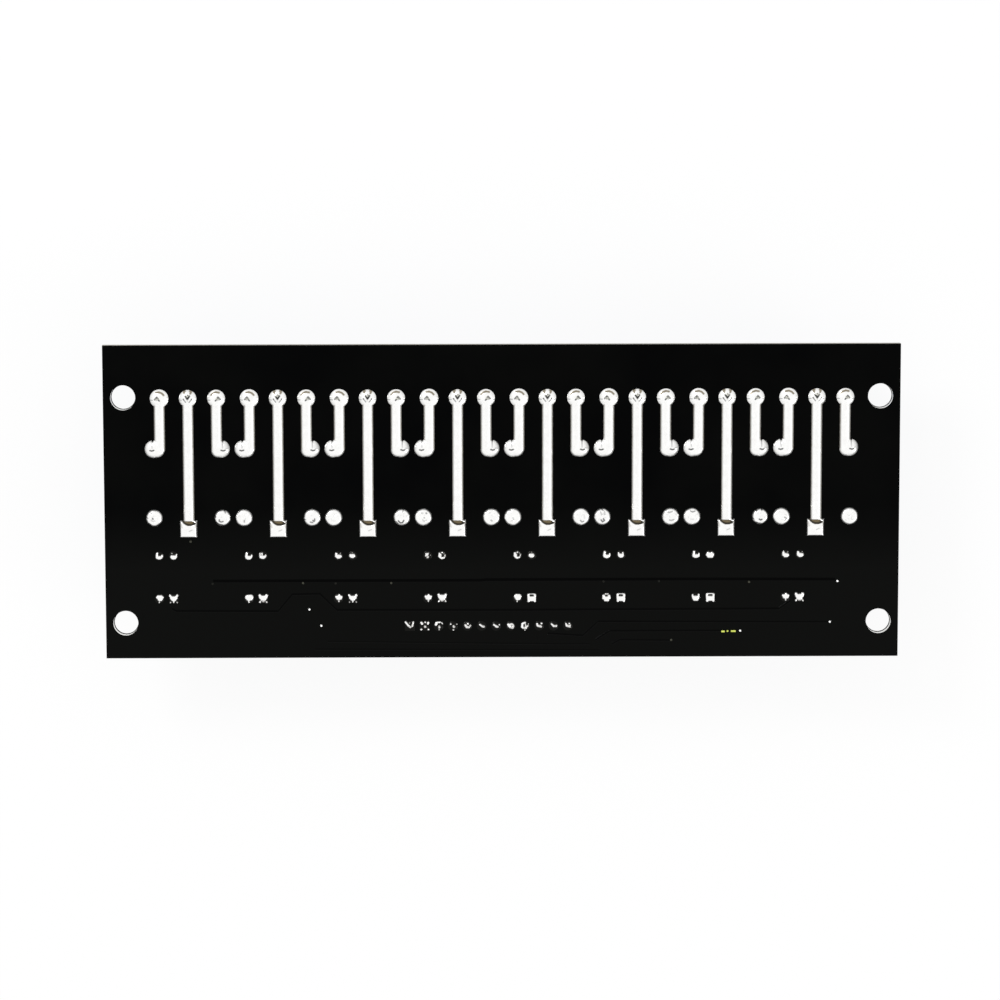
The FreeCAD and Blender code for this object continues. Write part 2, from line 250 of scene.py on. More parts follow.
def soft_lamp(name, place, size, power):
    """A round soft lamp that points at the board."""
    data = bpy.data.lights.new(name, "AREA")
    data.shape = "DISK"
    data.size = size
    data.energy = power
    lamp = bpy.data.objects.new(name, data)
    scene.collection.objects.link(lamp)
    lamp.location = place
    lamp.rotation_euler = (-Vector(place)).to_track_quat("-Z", "Y").to_euler()
    print(name, "gives", power, "watts")


soft_lamp("key_lamp", (-0.45, 0.50, 0.60), 0.30, 2.2)
soft_lamp("fill_lamp", (0.65, -0.35, 0.40), 0.40, 1.2)
scene.view_settings.view_transform = "Standard"

# %% [markdown]
# ## Floor
#
# A wide pale sheet under the relays. The camera sees it nearly white, with a faint shadow,
# because most of what it shows is a plain glow and the rest is ordinary lit paint. From
# below it lets the view through, so that the component side can be looked at too.

# %% Build the floor
FLOOR_HALF = 3.0
FLOOR_DROP = 0.00005               # just clear of the relay tops
FLOOR_GLOW_SHARE = 0.86
FLOOR_GLOW = 1.04

corners = [(-1, -1), (1, -1), (1, 1), (-1, 1)]
floor_mesh = bpy.data.meshes.new("floor")
floor_mesh.from_pydata([(x * FLOOR_HALF, y * FLOOR_HALF, 0) for x, y in corners], [],
                       [(0, 1, 2, 3)])
floor = bpy.data.objects.new("floor", floor_mesh)
floor.location.z = -FLOOR_DROP
scene.collection.objects.link(floor)
paint = bpy.data.materials.new("pale_floor")
paint.use_nodes = True
tree = paint.node_tree
tree.nodes.clear()
rays = node(tree, "ShaderNodeLightPath", -900, 300).outputs
seen = maths(tree, "MAXIMUM", -720, 300, rays["Is Camera Ray"], rays["Is Transmission Ray"])
seen = maths(tree, "MAXIMUM", -540, 300, seen, rays["Is Glossy Ray"])
lit = node(tree, "ShaderNodeBsdfDiffuse", -360, 100)
feed(tree, lit.inputs["Color"], (0.9, 0.9, 0.9))
glow = node(tree, "ShaderNodeEmission", -360, -60)
feed(tree, glow.inputs["Strength"], FLOOR_GLOW)
above = node(tree, "ShaderNodeMixShader", -120, 100)
feed(tree, above.inputs[0], maths(tree, "MULTIPLY", -360, 300, seen, FLOOR_GLOW_SHARE))
feed(tree, above.inputs[1], lit.outputs[0])
feed(tree, above.inputs[2], glow.outputs[0])
clear = node(tree, "ShaderNodeBsdfTransparent", -120, -120)
side = node(tree, "ShaderNodeNewGeometry", -120, 340)
either_side = node(tree, "ShaderNodeMixShader", 100, 100)
feed(tree, either_side.inputs[0], side.outputs["Backfacing"])
feed(tree, either_side.inputs[1], above.outputs[0])
feed(tree, either_side.inputs[2], clear.outputs[0])
output = node(tree, "ShaderNodeOutputMaterial", 300, 100)
feed(tree, output.inputs[0], either_side.outputs[0])
floor_mesh.materials.append(paint)
print("floor is", 2 * FLOOR_HALF, "m wide")

# %% [markdown]
# ## Shared effects
#
# Three effects come back in many materials: a soft blotchy variation of colour, a fine
# grain that roughens plastic and metal, and lighter edges where moulded or plated parts
# have rubbed. Each is a node group with named inputs, and each material gives it its own
# values. The pattern comes from the place on the object, so it sticks to the piece.

# %% Node groups for blotches, grain and worn edges
def new_group(name, inputs, outputs):
    """An empty node group with its sockets. Gives it and its two end nodes' sockets."""
    group = bpy.data.node_groups.new(name, "ShaderNodeTree")
    for label, kind, value in inputs:
        socket = group.interface.new_socket(name=label, in_out="INPUT", socket_type=kind)
        socket.default_value = value
    for label, kind in outputs:
        group.interface.new_socket(name=label, in_out="OUTPUT", socket_type=kind)
    enter = node(group, "NodeGroupInput", -900, 0)
    leave = node(group, "NodeGroupOutput", 700, 0)
    return group, enter.outputs, leave.inputs


def noise_in(group, scale, x, y, detail=3.0):
    """Cloudy noise that is fixed to the object."""
    place = node(group, "ShaderNodeTexCoord", x - 200, y - 120)
    noise = node(group, "ShaderNodeTexNoise", x, y)
    feed(group, noise.inputs["Detail"], detail)
    feed(group, noise.inputs["Roughness"], 0.55)
    feed(group, noise.inputs["Vector"], place.outputs["Object"])
    feed(group, noise.inputs["Scale"], scale)
    return noise.outputs["Fac"]


blotches, enter, leave = new_group(
    "blotches",
    [("Color", "NodeSocketColor", (0.5, 0.5, 0.5, 1)),
     ("Other Color", "NodeSocketColor", (0.4, 0.4, 0.4, 1)),
     ("Scale", "NodeSocketFloat", 60.0),
     ("Amount", "NodeSocketFloat", 1.0)],
    [("Color", "NodeSocketColor")])
patches = stretched(blotches, -400, 0, noise_in(blotches, enter["Scale"], -600, 0), 0.35, 0.65)
amount = maths(blotches, "MULTIPLY", -200, 0, patches, enter["Amount"])
feed(blotches, leave["Color"], mixed(blotches, 100, 0, amount, enter["Color"],
                                     enter["Other Color"]))

grain, enter, leave = new_group(
    "grain",
    [("Scale", "NodeSocketFloat", 2000.0),
     ("Roughness", "NodeSocketFloat", 0.4),
     ("Spread", "NodeSocketFloat", 0.1)],
    [("Roughness", "NodeSocketFloat"), ("Height", "NodeSocketFloat")])
noise = noise_in(grain, enter["Scale"], -600, 0, detail=2.0)
centred = maths(grain, "SUBTRACT", -400, 0, noise, 0.5)
feed(grain, leave["Roughness"], maths(grain, "MULTIPLY_ADD", -200, 0, centred,
                                      enter["Spread"], enter["Roughness"]))
feed(grain, leave["Height"], noise)

edge_wear, enter, leave = new_group(
    "edge_wear",
    [("Color", "NodeSocketColor", (0.5, 0.5, 0.5, 1)),
     ("Edge Color", "NodeSocketColor", (0.7, 0.7, 0.7, 1)),
     ("Scale", "NodeSocketFloat", 900.0),
     ("Amount", "NodeSocketFloat", 0.5)],
    [("Color", "NodeSocketColor")])
point = node(edge_wear, "ShaderNodeNewGeometry", -600, 200)
sharp = stretched(edge_wear, -400, 200, point.outputs["Pointiness"], 0.51, 0.60)
noise = noise_in(edge_wear, enter["Scale"], -600, -100)
broken = maths(edge_wear, "MULTIPLY", -200, 100, sharp, noise)
amount = maths(edge_wear, "MULTIPLY", 0, 100, broken, enter["Amount"], use_clamp=True)
feed(edge_wear, leave["Color"], mixed(edge_wear, 300, 0, amount, enter["Color"],
                                      enter["Edge Color"]))
print("node groups:", [group.name for group in bpy.data.node_groups])

# %% [markdown]
# ## A recipe for plain materials
#
# Moulded plastics and plated metals differ only in a few values, so one function sets up
# the shader with the three shared effects. Values that are the same all over are set on
# the shader's own sockets.

# %% Material recipe
GRAIN_SCALE = 2500.0
BUMP_DISTANCE = 0.00002
SKIN_DEPTH = (0.0006, 0.0006, 0.0008)   # how far light reaches into soft plastic


def new_material(name):
    """A material with a plain shader. Gives it, its tree and the shader's sockets."""
    made = bpy.data.materials.new(name)
    made.use_nodes = True
    print("material", name)
    return made, made.node_tree, made.node_tree.nodes["Principled BSDF"].inputs


def place_group(tree, group, x, y, **values):
    """Places a shared effect with its own values, and gives what comes out of it."""
    made = node(tree, "ShaderNodeGroup", x, y, node_tree=group)
    for label, value in values.items():
        feed(tree, made.inputs[label.replace("_", " ")], value)
    return made.outputs


def bumps(tree, x, y, height, strength, distance):
    """Fine bumps from a height, as a normal for the shader."""
    made = node(tree, "ShaderNodeBump", x, y)
    feed(tree, made.inputs["Strength"], strength)
    feed(tree, made.inputs["Distance"], distance)
    feed(tree, made.inputs["Height"], height)
    return made.outputs["Normal"]


def finish_of(name, colour, other, edge, roughness=0.4, spread=0.15, metallic=0.0,
              specular=0.5, blotch_scale=80.0, blotch_amount=0.5, wear=0.4, bump=0.15,
              subsurface=0.0):
    """A material with blotches, grain and worn edges."""
    made, tree, shader = new_material(name)
    shader["Metallic"].default_value = metallic
    shader["Specular IOR Level"].default_value = specular
    if subsurface:
        shader["Subsurface Weight"].default_value = subsurface
        shader["Subsurface Radius"].default_value = SKIN_DEPTH
    blotched = place_group(tree, blotches, -700, 200, Color=colour, Other_Color=other,
                           Scale=blotch_scale, Amount=blotch_amount)
    worn = place_group(tree, edge_wear, -450, 200, Color=blotched["Color"], Edge_Color=edge,
                       Amount=wear)
    grained = place_group(tree, grain, -700, -150, Scale=GRAIN_SCALE, Roughness=roughness,
                          Spread=spread)
    feed(tree, shader["Base Color"], worn["Color"])
    feed(tree, shader["Roughness"], grained["Roughness"])
    feed(tree, shader["Normal"],
         bumps(tree, -450, -200, grained["Height"], bump, BUMP_DISTANCE))
    return made


# %% [markdown]
# ## Black solder mask
#
# The board is glass-fibre laminate under a black lacquer. Seen square-on it is nearly
# black, and a painted sheen makes it a little lighter and greener low down; it only shines
# at a low angle. The cut edges show the bare laminate, and the four holes are lined with
# tin. So the material looks at the way a face points and at where it is: faces that point
# up or down get the lacquer, the outer walls get laminate, and walls further in get tin. A
# value called `copper`, which only the thin tracks carry, darkens the lacquer over them
# with painted shade.

# %% Colours of the lacquer, the laminate and the hole linings
MASK_DARK = (0.0004, 0.0005, 0.0006)
MASK_LIGHT = (0.0017, 0.0018, 0.0016)
# Painted sheen: the lacquer low on the board is drawn lighter and greener, as a reflection.
MASK_LOW_SHEEN = (0.0042, 0.0044, 0.0040)
# Painted shade over the buried tracks, in place of the shading of their low step.
PAINTED_TRACK_SHADE = (0.0009, 0.0009, 0.0009)
LAMINATE = (0.30, 0.28, 0.22)
LAMINATE_DARK = (0.14, 0.13, 0.10)
TIN_LINING = (0.95, 0.95, 0.92)
PAINTED_SHEEN_FROM = (-0.001, -0.012)    # the lacquer gets lighter between these two heights on Y
EDGE_MARGIN = 0.0005               # metres from the outline that still count as outer wall
GRAZING_BLEND = 0.35               # the gloss comes at low angles only
GRAZING_GLOSS = 0.9


def lacquer_colour(tree, place):
    """Black lacquer: blotched, a painted sheen low down, painted shade over tracks."""
    blotched = place_group(tree, blotches, -900, 300, Color=MASK_DARK, Other_Color=MASK_LIGHT,
                           Scale=55.0, Amount=0.9)
    # painted sheen, lighter and greener towards the lower edge of the board
    low = stretched(tree, -940, 0, place["Y"], *PAINTED_SHEEN_FROM)
    lower = mixed(tree, -640, 250, low, blotched["Color"], MASK_LOW_SHEEN)
    # painted shade over the buried tracks
    copper = node(tree, "ShaderNodeAttribute", -640, 500, attribute_name="copper")
    return mixed(tree, -500, 350, copper.outputs["Fac"], lower, PAINTED_TRACK_SHADE)


def away_from_outline(tree, place):
    """One inside the outline of the board, nought on its outer walls."""
    within = []
    for axis, reach, y in (("X", board_high[0], -700), ("Y", board_high[1], -400)):
        aside = maths(tree, "ABSOLUTE", -1120, y, place[axis])
        within.append(maths(tree, "LESS_THAN", -940, y, aside, reach * MM - EDGE_MARGIN))
    return maths(tree, "MULTIPLY", -760, -600, *within)


print("outer walls at %.1f and %.2f mm" % (board_high[0], board_high[1]))

# %% [markdown]
# The material puts these colours together. Masks of ones and noughts choose between
# lacquer, laminate and tin, so one material serves the whole board. Separate materials on
# chosen faces would do as well, but they would have to be given out again after each change
# of the model. The gloss lies in a coat over the lacquer and comes at a low angle only.

# %% Board material
def mask_material():
    """Lacquer on flat faces, laminate on the outer walls, tin in the holes."""
    made, tree, shader = new_material("black_solder_mask")
    shader["Specular IOR Level"].default_value = 0.02
    shader["Coat Roughness"].default_value = 0.12
    texture = node(tree, "ShaderNodeTexCoord", -1300, 0)
    place = split_up(tree, -1120, 0, texture.outputs["Object"])
    facing = node(tree, "ShaderNodeNewGeometry", -900, 600)
    slope = split_up(tree, -720, 600, facing.outputs["True Normal"])
    flat = maths(tree, "GREATER_THAN", -360, 600,
                 maths(tree, "ABSOLUTE", -540, 600, slope["Z"]), 0.5)
    laminate = place_group(tree, blotches, -900, -250, Color=LAMINATE,
                           Other_Color=LAMINATE_DARK, Scale=1400.0, Amount=0.8)
    lined = away_from_outline(tree, place)
    wall = mixed(tree, -560, -300, lined, laminate["Color"], TIN_LINING)
    feed(tree, shader["Base Color"],
         mixed(tree, -360, 250, flat, wall, lacquer_colour(tree, place)))
    steep = maths(tree, "SUBTRACT", -560, -500, 1.0, flat)
    feed(tree, shader["Metallic"], maths(tree, "MULTIPLY", -360, -560, steep, lined))
    grained = place_group(tree, grain, -900, -900, Scale=1800.0, Roughness=0.30, Spread=0.12)
    feed(tree, shader["Roughness"], grained["Roughness"])
    feed(tree, shader["Normal"], bumps(tree, -360, -300, grained["Height"], 0.05, 0.00001))
    grazing = node(tree, "ShaderNodeLayerWeight", -720, -420)
    feed(tree, grazing.inputs["Blend"], GRAZING_BLEND)
    glossy = maths(tree, "MULTIPLY", -540, -420, grazing.outputs["Facing"], GRAZING_GLOSS)
    feed(tree, shader["Coat Weight"], maths(tree, "MULTIPLY", -360, -480, glossy, flat))
    return made


board_mask = mask_material()
for board_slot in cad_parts["circuit_board"].material_slots:
    board_slot.material = board_mask

# %% [markdown]
# ## Solder
#
# Frozen solder is bright metal with a soft skin. Olive stains of flux gather where the wave
# of solder broke off. Folds, creases, steep rims and the bodies of the small joints show
# dark because they reflect the black board, and that dark is a painted reflection. Both are
# painted from two values, `stain` and `shade`, that the mesh-making functions below store
# on every point. A stain is dull, so there the metal gives way to plain colour. Fine lumps
# give the grey specks.

# %% Solder material
SOLDER_WHITE = (1.0, 1.0, 0.985)
SOLDER_GREY = (0.94, 0.935, 0.92)
FLUX_OLIVE = (0.22, 0.17, 0.088)
# Painted reflection of the black board in folds, creases, steep rims and joint bodies.
BOARD_REFLECTION_DARK = (0.0045, 0.0045, 0.0035)


def solder_material():
    """Bright metal, with stains and a painted reflection of the board from stored values."""
    made, tree, shader = new_material("bright_solder")
    shader["Specular IOR Level"].default_value = 0.2
    blotched = place_group(tree, blotches, -1000, 300, Color=SOLDER_WHITE,
                           Other_Color=SOLDER_GREY, Scale=900.0, Amount=0.7)
    stain = node(tree, "ShaderNodeAttribute", -1000, 50, attribute_name="stain").outputs["Fac"]
    shade = node(tree, "ShaderNodeAttribute", -1000, -100, attribute_name="shade").outputs["Fac"]
    stained = mixed(tree, -700, 250, stain, blotched["Color"], FLUX_OLIVE)
    feed(tree, shader["Base Color"], mixed(tree, -450, 250, shade, stained, BOARD_REFLECTION_DARK))
    feed(tree, shader["Metallic"], maths(tree, "SUBTRACT", -700, 0, 1.0, stain))
    grained = place_group(tree, grain, -1000, -300, Scale=3500.0, Roughness=0.24, Spread=0.20)
    feed(tree, shader["Roughness"], grained["Roughness"])
    feed(tree, shader["Normal"], bumps(tree, -450, -250, grained["Height"], 0.10, 0.00003))
    return made


solder = solder_material()

# %% [markdown]
# ## Solder as a relief
#
# Solder lies on the board like a drop on glass: seen from above it never folds under
# itself. So each joint or track can be a height above the board at every point of a fine
# grid. The helpers of this cell give the heights: random lumps, a drop, a soft mark along a
# line, and the rule that joins two drops with a crease between them.

# %% Helpers for heights
HILLS = 41                         # rows and columns of a table of random hills
HILLS_SHIFT = (13.7, 7.3)          # keeps a joint's middle off the corner of the table
CRISP_FROM = 0.15                  # a firm mark starts here and is full after the span
CRISP_SPAN = 0.35


def lumps(x, y, size, seed):
    """Smooth random hills between -1 and 1, about as wide as size."""
    table = np.random.default_rng(seed).random((HILLS, HILLS)) * 2 - 1
    u = x / size + HILLS_SHIFT[0]
    v = y / size + HILLS_SHIFT[1]
    column = np.floor(u).astype(int)
    row = np.floor(v).astype(int)
    across = u - column
    along = v - row
    across = across * across * (3 - 2 * across)
    along = along * along * (3 - 2 * along)
    left, right = column % HILLS, (column + 1) % HILLS
    low, high = row % HILLS, (row + 1) % HILLS
    lower = table[low, left] * (1 - across) + table[low, right] * across
    upper = table[high, left] * (1 - across) + table[high, right] * across
    return lower * (1 - along) + upper * along


def merge(first, second, softness=0.05):
    """The higher of two reliefs, with a soft crease between them."""
    return np.logaddexp(first / softness, second / softness) * softness


def from_segment(x, y, start, end):
    """Distance of each point from a straight line between two points."""
    span = np.array(end) - np.array(start)
    length = max(span @ span, 1e-12)
    share = np.clip(((x - start[0]) * span[0] + (y - start[1]) * span[1]) / length, 0, 1)
    return np.hypot(x - start[0] - share * span[0], y - start[1] - share * span[1])


def stroke(x, y, start, end, width):
    """A soft mark along a short line, one in its middle and nought away from it."""
    return np.exp(-(from_segment(x, y, start, end) / width) ** 2)


def drop(distance, radius, height, power):
    """A drop of solder that falls below the board past its radius.

    The higher the power, the flatter its top and the steeper its sides.
    """
    return height * (1 - (np.abs(distance) / radius) ** power)


def path(x, y, places, width):
    """A soft mark along a line of several places."""
    return np.maximum.reduce([stroke(x, y, start, end, width)
                              for start, end in zip(places, places[1:])])


def crisp(mark):
    """The same mark with a firmer border."""
    return np.clip((mark - CRISP_FROM) / CRISP_SPAN, 0, 1)


AT_MIDDLE = np.zeros((1, 1))
print("two drops that meet 0.3 mm up give %.2f mm" % merge(0.3 + AT_MIDDLE, 0.3).item())

# %% [markdown]
# The next helpers turn heights into meshes and meshes into pieces. Heights below the board
# are kept a little way down, which hides the stepped border of the grid inside the board and
# leaves a clean outline where the drop meets the mask. Each piece is closed underneath, so
# that it is a solid and not a loose skin.

# %% Helpers for pieces
SKIRT = 0.10                       # how deep a relief reaches into the board, in millimetres
REACH = 1.1                        # half a joint's relief, as a share of the joint's radius


def add_piece(name, mesh, material, replaced=None):
    """Makes a mesh a piece that rides on the board, in place of a node or beside the nodes."""
    mesh.materials.append(material)
    piece = bpy.data.objects.new(name, mesh)
    scene.collection.objects.link(piece)
    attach(piece, "root")
    if replaced:
        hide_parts(replaced)
    print(name, "has", len(mesh.polygons), "faces")
    return piece


def relief_arrays(low, high, step, shape):
    """Points, faces and marks of one relief over a rectangle, in millimetres."""
    xs = np.arange(low[0], high[0] + step, step)
    ys = np.arange(low[1], high[1] + step, step)
    x, y = np.meshgrid(xs, ys)
    height, stain, shade = shape(x, y)
    height = np.maximum(height, -SKIRT)
    inside = height > -SKIRT
    keep = inside[:-1, :-1] | inside[1:, :-1] | inside[:-1, 1:] | inside[1:, 1:]
    row, column = np.nonzero(keep)
    width = len(xs)
    corner = row * width + column
    faces = np.stack([corner, corner + 1, corner + width + 1, corner + width], axis=1)
    used, faces = np.unique(faces, return_inverse=True)
    faces = faces.reshape(-1, 4)
    points = np.stack([x.ravel()[used], y.ravel()[used], height.ravel()[used]], axis=1)
    marks = np.stack([np.clip(mark, 0, 1).ravel()[used] for mark in (stain, shade)], axis=1)
    return points, faces, marks


def solder_piece(name, reliefs, replaced):
    """One piece out of several reliefs, closed underneath."""
    points, faces, marks, offset = [], [], [], 0
    for part_points, part_faces, part_marks in reliefs:
        points.append(part_points)
        faces.append(part_faces + offset)
        marks.append(part_marks)
        offset += len(part_points)
    points = np.concatenate(points)
    points[:, 2] += BOARD_TOP
    marks = np.concatenate(marks).astype(np.float32)
    mesh = bpy.data.meshes.new(name)
    mesh.from_pydata((points * MM).tolist(), [], np.concatenate(faces).tolist())
    for column, label in enumerate(("stain", "shade")):
        layer_data = mesh.attributes.new(label, "FLOAT", "POINT").data
        layer_data.foreach_set("value", np.ascontiguousarray(marks[:, column]))
    work = bmesh.new()
    work.from_mesh(mesh)
    border = [edge for edge in work.edges if edge.is_boundary]
    bmesh.ops.holes_fill(work, edges=border, sides=0)
    for face in work.faces:
        face.smooth = len(face.verts) == 4
    work.to_mesh(mesh)
    work.free()
    add_piece(name, mesh, solder, replaced)


# %% [markdown]
# ## Tinned tracks
#
# Each channel has three: a short one on the left and on the right that end in a rounded
# foot over a relay pin, and a long one in the middle that ends in a square joint. The
# heavy current runs here, so the tracks are flooded with solder and stand proud like a
# bead. The model gives where each track starts and ends.

# %% Rows of pins that the tracks join
PIN_HALF = 0.3                     # from the edge of a terminal pin to its middle
pin_boxes = islands("relay_pins")
terminal_pin_boxes = islands("terminal_pins")
PIN_ROW = terminal_pin_boxes[0][0][1] + PIN_HALF
CONTACT_ROW = max(middle(box)[1] for box in pin_boxes)
COMMON_ROW = min(middle(box)[1] for box in pin_boxes)
print("rows at", round(PIN_ROW, 2), round(CONTACT_ROW, 2), round(COMMON_ROW, 2))

# %% [markdown]
# ## Joints of the screw terminals
#
# Each is a low dome with a fine seam on either side. An outer joint has an olive arc of
# flux over the pin and a dark star where the pin comes out. A middle joint has two olive
# patches, and the solder in front of its pin has frozen in a dark V between two dashes. The
# dark of the seams, the star, the V and the dashes is painted shade over shallow dips.

# %% Shape of a terminal joint
JOINT_HEIGHT = 0.62
JOINT_RADII = {-1: 1.62, 0: 1.52, 1: 1.55}


def terminal_joint(x, y, radius, side, seed):
    """A domed joint round a flat pin. side is -1, 0 or 1 for left, middle or right."""
    height = drop(np.hypot(x, y), radius, JOINT_HEIGHT, power=2.5)
    height = height + 0.012 * lumps(x, y, 0.6, seed)
    stain = np.zeros_like(x)
    shade = np.zeros_like(x)
    # Painted shade follows: the dark seams, and the star, dashes, knobs and V over shallow dips.
    for end in (-1, 1):
        seam = stroke(x, y, (end * radius * 0.70, -0.25), (end * radius, -0.25), 0.075)
        shade = np.maximum(shade, 0.6 * crisp(seam))
        height = height - 0.04 * seam
    if side:
        turn_x = -side * x
        arc = path(turn_x, y, [(-0.55, 1.06), (0.0, 1.17), (0.50, 0.99), (0.85, 0.65)], 0.145)
        star = path(turn_x, y, [(-0.73, -0.12), (-0.36, 0.30), (-0.12, -0.08), (0.08, -0.34)],
                    0.125)
        core = stroke(turn_x, y, (-0.40, -0.02), (-0.36, -0.10), 0.20)
        height = height - 0.02 * arc - 0.05 * star
        stain = np.maximum(stain, 0.9 * crisp(arc))
        shade = np.maximum(shade, np.maximum(0.88 * crisp(star), 0.25 * crisp(core)))
    else:
        for end in (-1, 1):
            patch = path(x * end, y, [(0.46, 1.30), (0.66, 1.20), (0.52, 0.92)], 0.17)
            dash = stroke(x * end, y, (0.70, -0.10), (0.30, -0.62), 0.085)
            knob = stroke(x * end, y, (0.72, -0.06), (0.66, -0.16), 0.11)
            leg = stroke(x * end, y, (0.35, 0.48), (0.02, -0.06), 0.14)
            height = height - 0.02 * patch - 0.05 * dash - 0.06 * leg
            stain = np.maximum(stain, 0.85 * crisp(patch))
            shade = np.maximum.reduce([shade, 0.70 * crisp(dash), 0.86 * crisp(knob),
                                       0.97 * crisp(leg)])
        stain = np.maximum(stain, 0.30 * stroke(x, y, (0, -0.30), (0, -0.36), 0.12))
        blush = stroke(x, y, (-0.9, -1.30), (0.9, -1.30), 0.22)
        stain = np.maximum(stain, 0.12 * blush * (0.7 + 0.3 * lumps(x, y, 0.18, seed + 2)))
    return height, stain, shade


for side in (-1, 0, 1):
    peak = terminal_joint(AT_MIDDLE, AT_MIDDLE, JOINT_RADII[side], side, 0)[0].item()
    print("joint on side %d is %.2f mm high by its pin" % (side, peak))

# %% [markdown]
# ## Bars and feet
#
# A bar is a crowned bead between two joints. Along its rims it has a brown stain and is
# painted darker, a painted reflection of the board. A foot is a wide drop with a second drop
# as its heel, which fills the corner towards the bar. A crease and a small smile show where
# it closed over the pin. The crease's grey is the bar's painted shadow, the smile's dark is
# painted shade, and each foot's outer half is painted greyer as shade, more on the right.

# %% Shapes of a bar and a foot
BAR_HALF = 0.94
BAR_HEIGHT = 0.50
FOOT_RADIUS = 1.53
FOOT_HEIGHT = 0.62
FOOT_SHIFTS = {-1: 0.0, 1: 0.12}
HEEL = (0.64, -0.28)               # how far towards the bar, and its Y
HEEL_RADIUS = 1.20
HEEL_HEIGHT = 0.55


def bead(x, y, top, bottom, seed):
    """The crowned bar between two joints."""
    height = drop(from_segment(x, y, (0, top), (0, bottom)), BAR_HALF, BAR_HEIGHT, power=2.6)
    height = height + 0.002 * lumps(x * 1.5, y * 0.25, 0.5, seed)
    # rims: a brown stain and a painted reflection of the board
    rim = np.clip((np.abs(x) - 0.66) / 0.20, 0, 1) ** 2
    blush = np.exp(-(x / 0.35) ** 2)
    return height, 0.012 * blush + 0.8 * rim * (0.7 + 0.3 * lumps(x, y, 0.4, seed + 3)), 0.3 * rim


def foot(x, y, side, seed):
    """The rounded foot of an outer track, with the relay pin under its outer half."""
    height = drop(np.hypot(x + FOOT_SHIFTS[side], y), FOOT_RADIUS, FOOT_HEIGHT, power=3.0)
    turn_x = x * side
    heel = drop(np.hypot(turn_x + HEEL[0], y - HEEL[1]), HEEL_RADIUS, HEEL_HEIGHT, power=3.0)
    height = np.maximum(height, heel)
    smile = path(turn_x, y, [(-0.10, -0.16), (0.24, -0.27), (0.58, -0.20)], 0.115)
    faint = path(turn_x, y, [(0.78, 0.06), (0.96, 0.0)], 0.11)
    crease = path(turn_x, y, [(0.18, 1.40), (0.17, 0.20)], 0.11)
    gap = path(turn_x, y, [(0.16, 2.0), (0.16, 1.58)], 0.13)
    height = height - 0.06 * smile - 0.06 * crease - 0.9 * gap
    height = height + 0.008 * lumps(x, y, 0.5, seed)
    # painted shade on the foot's outer half, stronger on the right; the crease is painted shadow
    outer = np.clip((turn_x - 0.3) / 1.0, 0, 1) ** 1.5
    fading = np.clip(0.25 + 0.5 * y, 0, 1)
    shade = np.maximum.reduce([0.90 * crisp(smile), 0.65 * fading * crisp(crease),
                               (0.25 + 0.20 * side) * outer, 0.5 * crisp(faint) * (side > 0)])
    return height, np.zeros_like(x), shade


print("a bar is %.2f mm high" % bead(AT_MIDDLE, AT_MIDDLE, 1, -1, 0)[0].item())

# %% [markdown]
# ## Square joints
#
# The long middle track ends on a square pad, so its joint is a square cushion with sharp
# sides. Between the bar and the cushion the solder pulled back and left a hollow in the
# shape of a crescent, with flux in it. The dark along the hollow's lower lip and at its
# ends, and a dark dent on the cushion, are painted shade.

# %% Shapes of a square joint and its hollow
SQUARE_HALF = 1.51
SQUARE_HEIGHT = 0.50
HOLLOW_FLOOR = 0.12                # height of the solder in the hollow


def square_joint(x, y, seed):
    """The square joint at the end of the middle track."""
    reach = np.maximum(np.abs(x), np.abs(y))
    height = drop(reach, SQUARE_HALF, SQUARE_HEIGHT, power=9.0)
    # a shallow dent, painted dark as shade
    shaded_dent = stroke(x, y, (0.14, -0.34), (0.66, -0.12), 0.085)
    height = height - 0.02 * shaded_dent
    height = height + 0.012 * lumps(x, y, 0.6, seed) + 0.005 * lumps(x, y, 0.22, seed + 1)
    olive = np.maximum(path(x, y, [(-1.34, 0.95), (-1.12, 0.35)], 0.14),
                       path(x, y, [(1.26, 1.1), (1.26, 0.30)], 0.09))
    return height, 0.35 * olive, 0.45 * shaded_dent


def crescent(x, y):
    """The stained hollow between the middle bar and its square joint.

    Gives one inside it and nought outside, and the height over its lower lip.
    """
    left = 0.80 * (np.clip(0.25 - x, 0, 2) / 1.4) ** 2.2
    right = 0.32 * (np.clip(x - 0.25, 0, 2) / 0.98) ** 2
    lip = 0.58 + left + right
    brow = 1.46 + 0.15 * np.clip((-0.6 - x) / 0.3, 0, 1) - 0.30 * np.clip((x - 0.7) / 0.5, 0, 1)
    inside = np.clip((brow - y) / 0.13, 0, 1) * np.clip((y - lip) / 0.06, 0, 1)
    return inside, y - lip


print("a square joint is %.2f mm high" % square_joint(AT_MIDDLE, AT_MIDDLE, 0)[0].item())

# %% [markdown]
# ## Whole tracks
#
# The two outer tracks mirror each other. A track's relief is the highest of its joint, its
# bar and its foot at every point, so the three flow together with a soft crease, as
# molten solder does.

# %% Build the tracks of all eight channels
TRACK_STEP = 0.085
OUTER_MARGIN = 1.9                 # from a pin to the border of an outer track's relief
MARGIN = 1.8                       # the same for a middle track
MIDDLE_BAR_STOP = 0.9              # from the relay's pin to the end of the middle bar
RELAY_REACH = 7                    # a relay's pins are nearer than this to its middle


def highest(parts, softness):
    """Joins reliefs by height, each point keeping the marks of the highest part."""
    height, stain, shade = parts[0]
    for other_height, other_stain, other_shade in parts[1:]:
        above = other_height > height
        stain = np.where(above, other_stain, stain)
        shade = np.where(above, other_shade, shade)
        height = merge(height, other_height, softness)
    return height, stain, shade


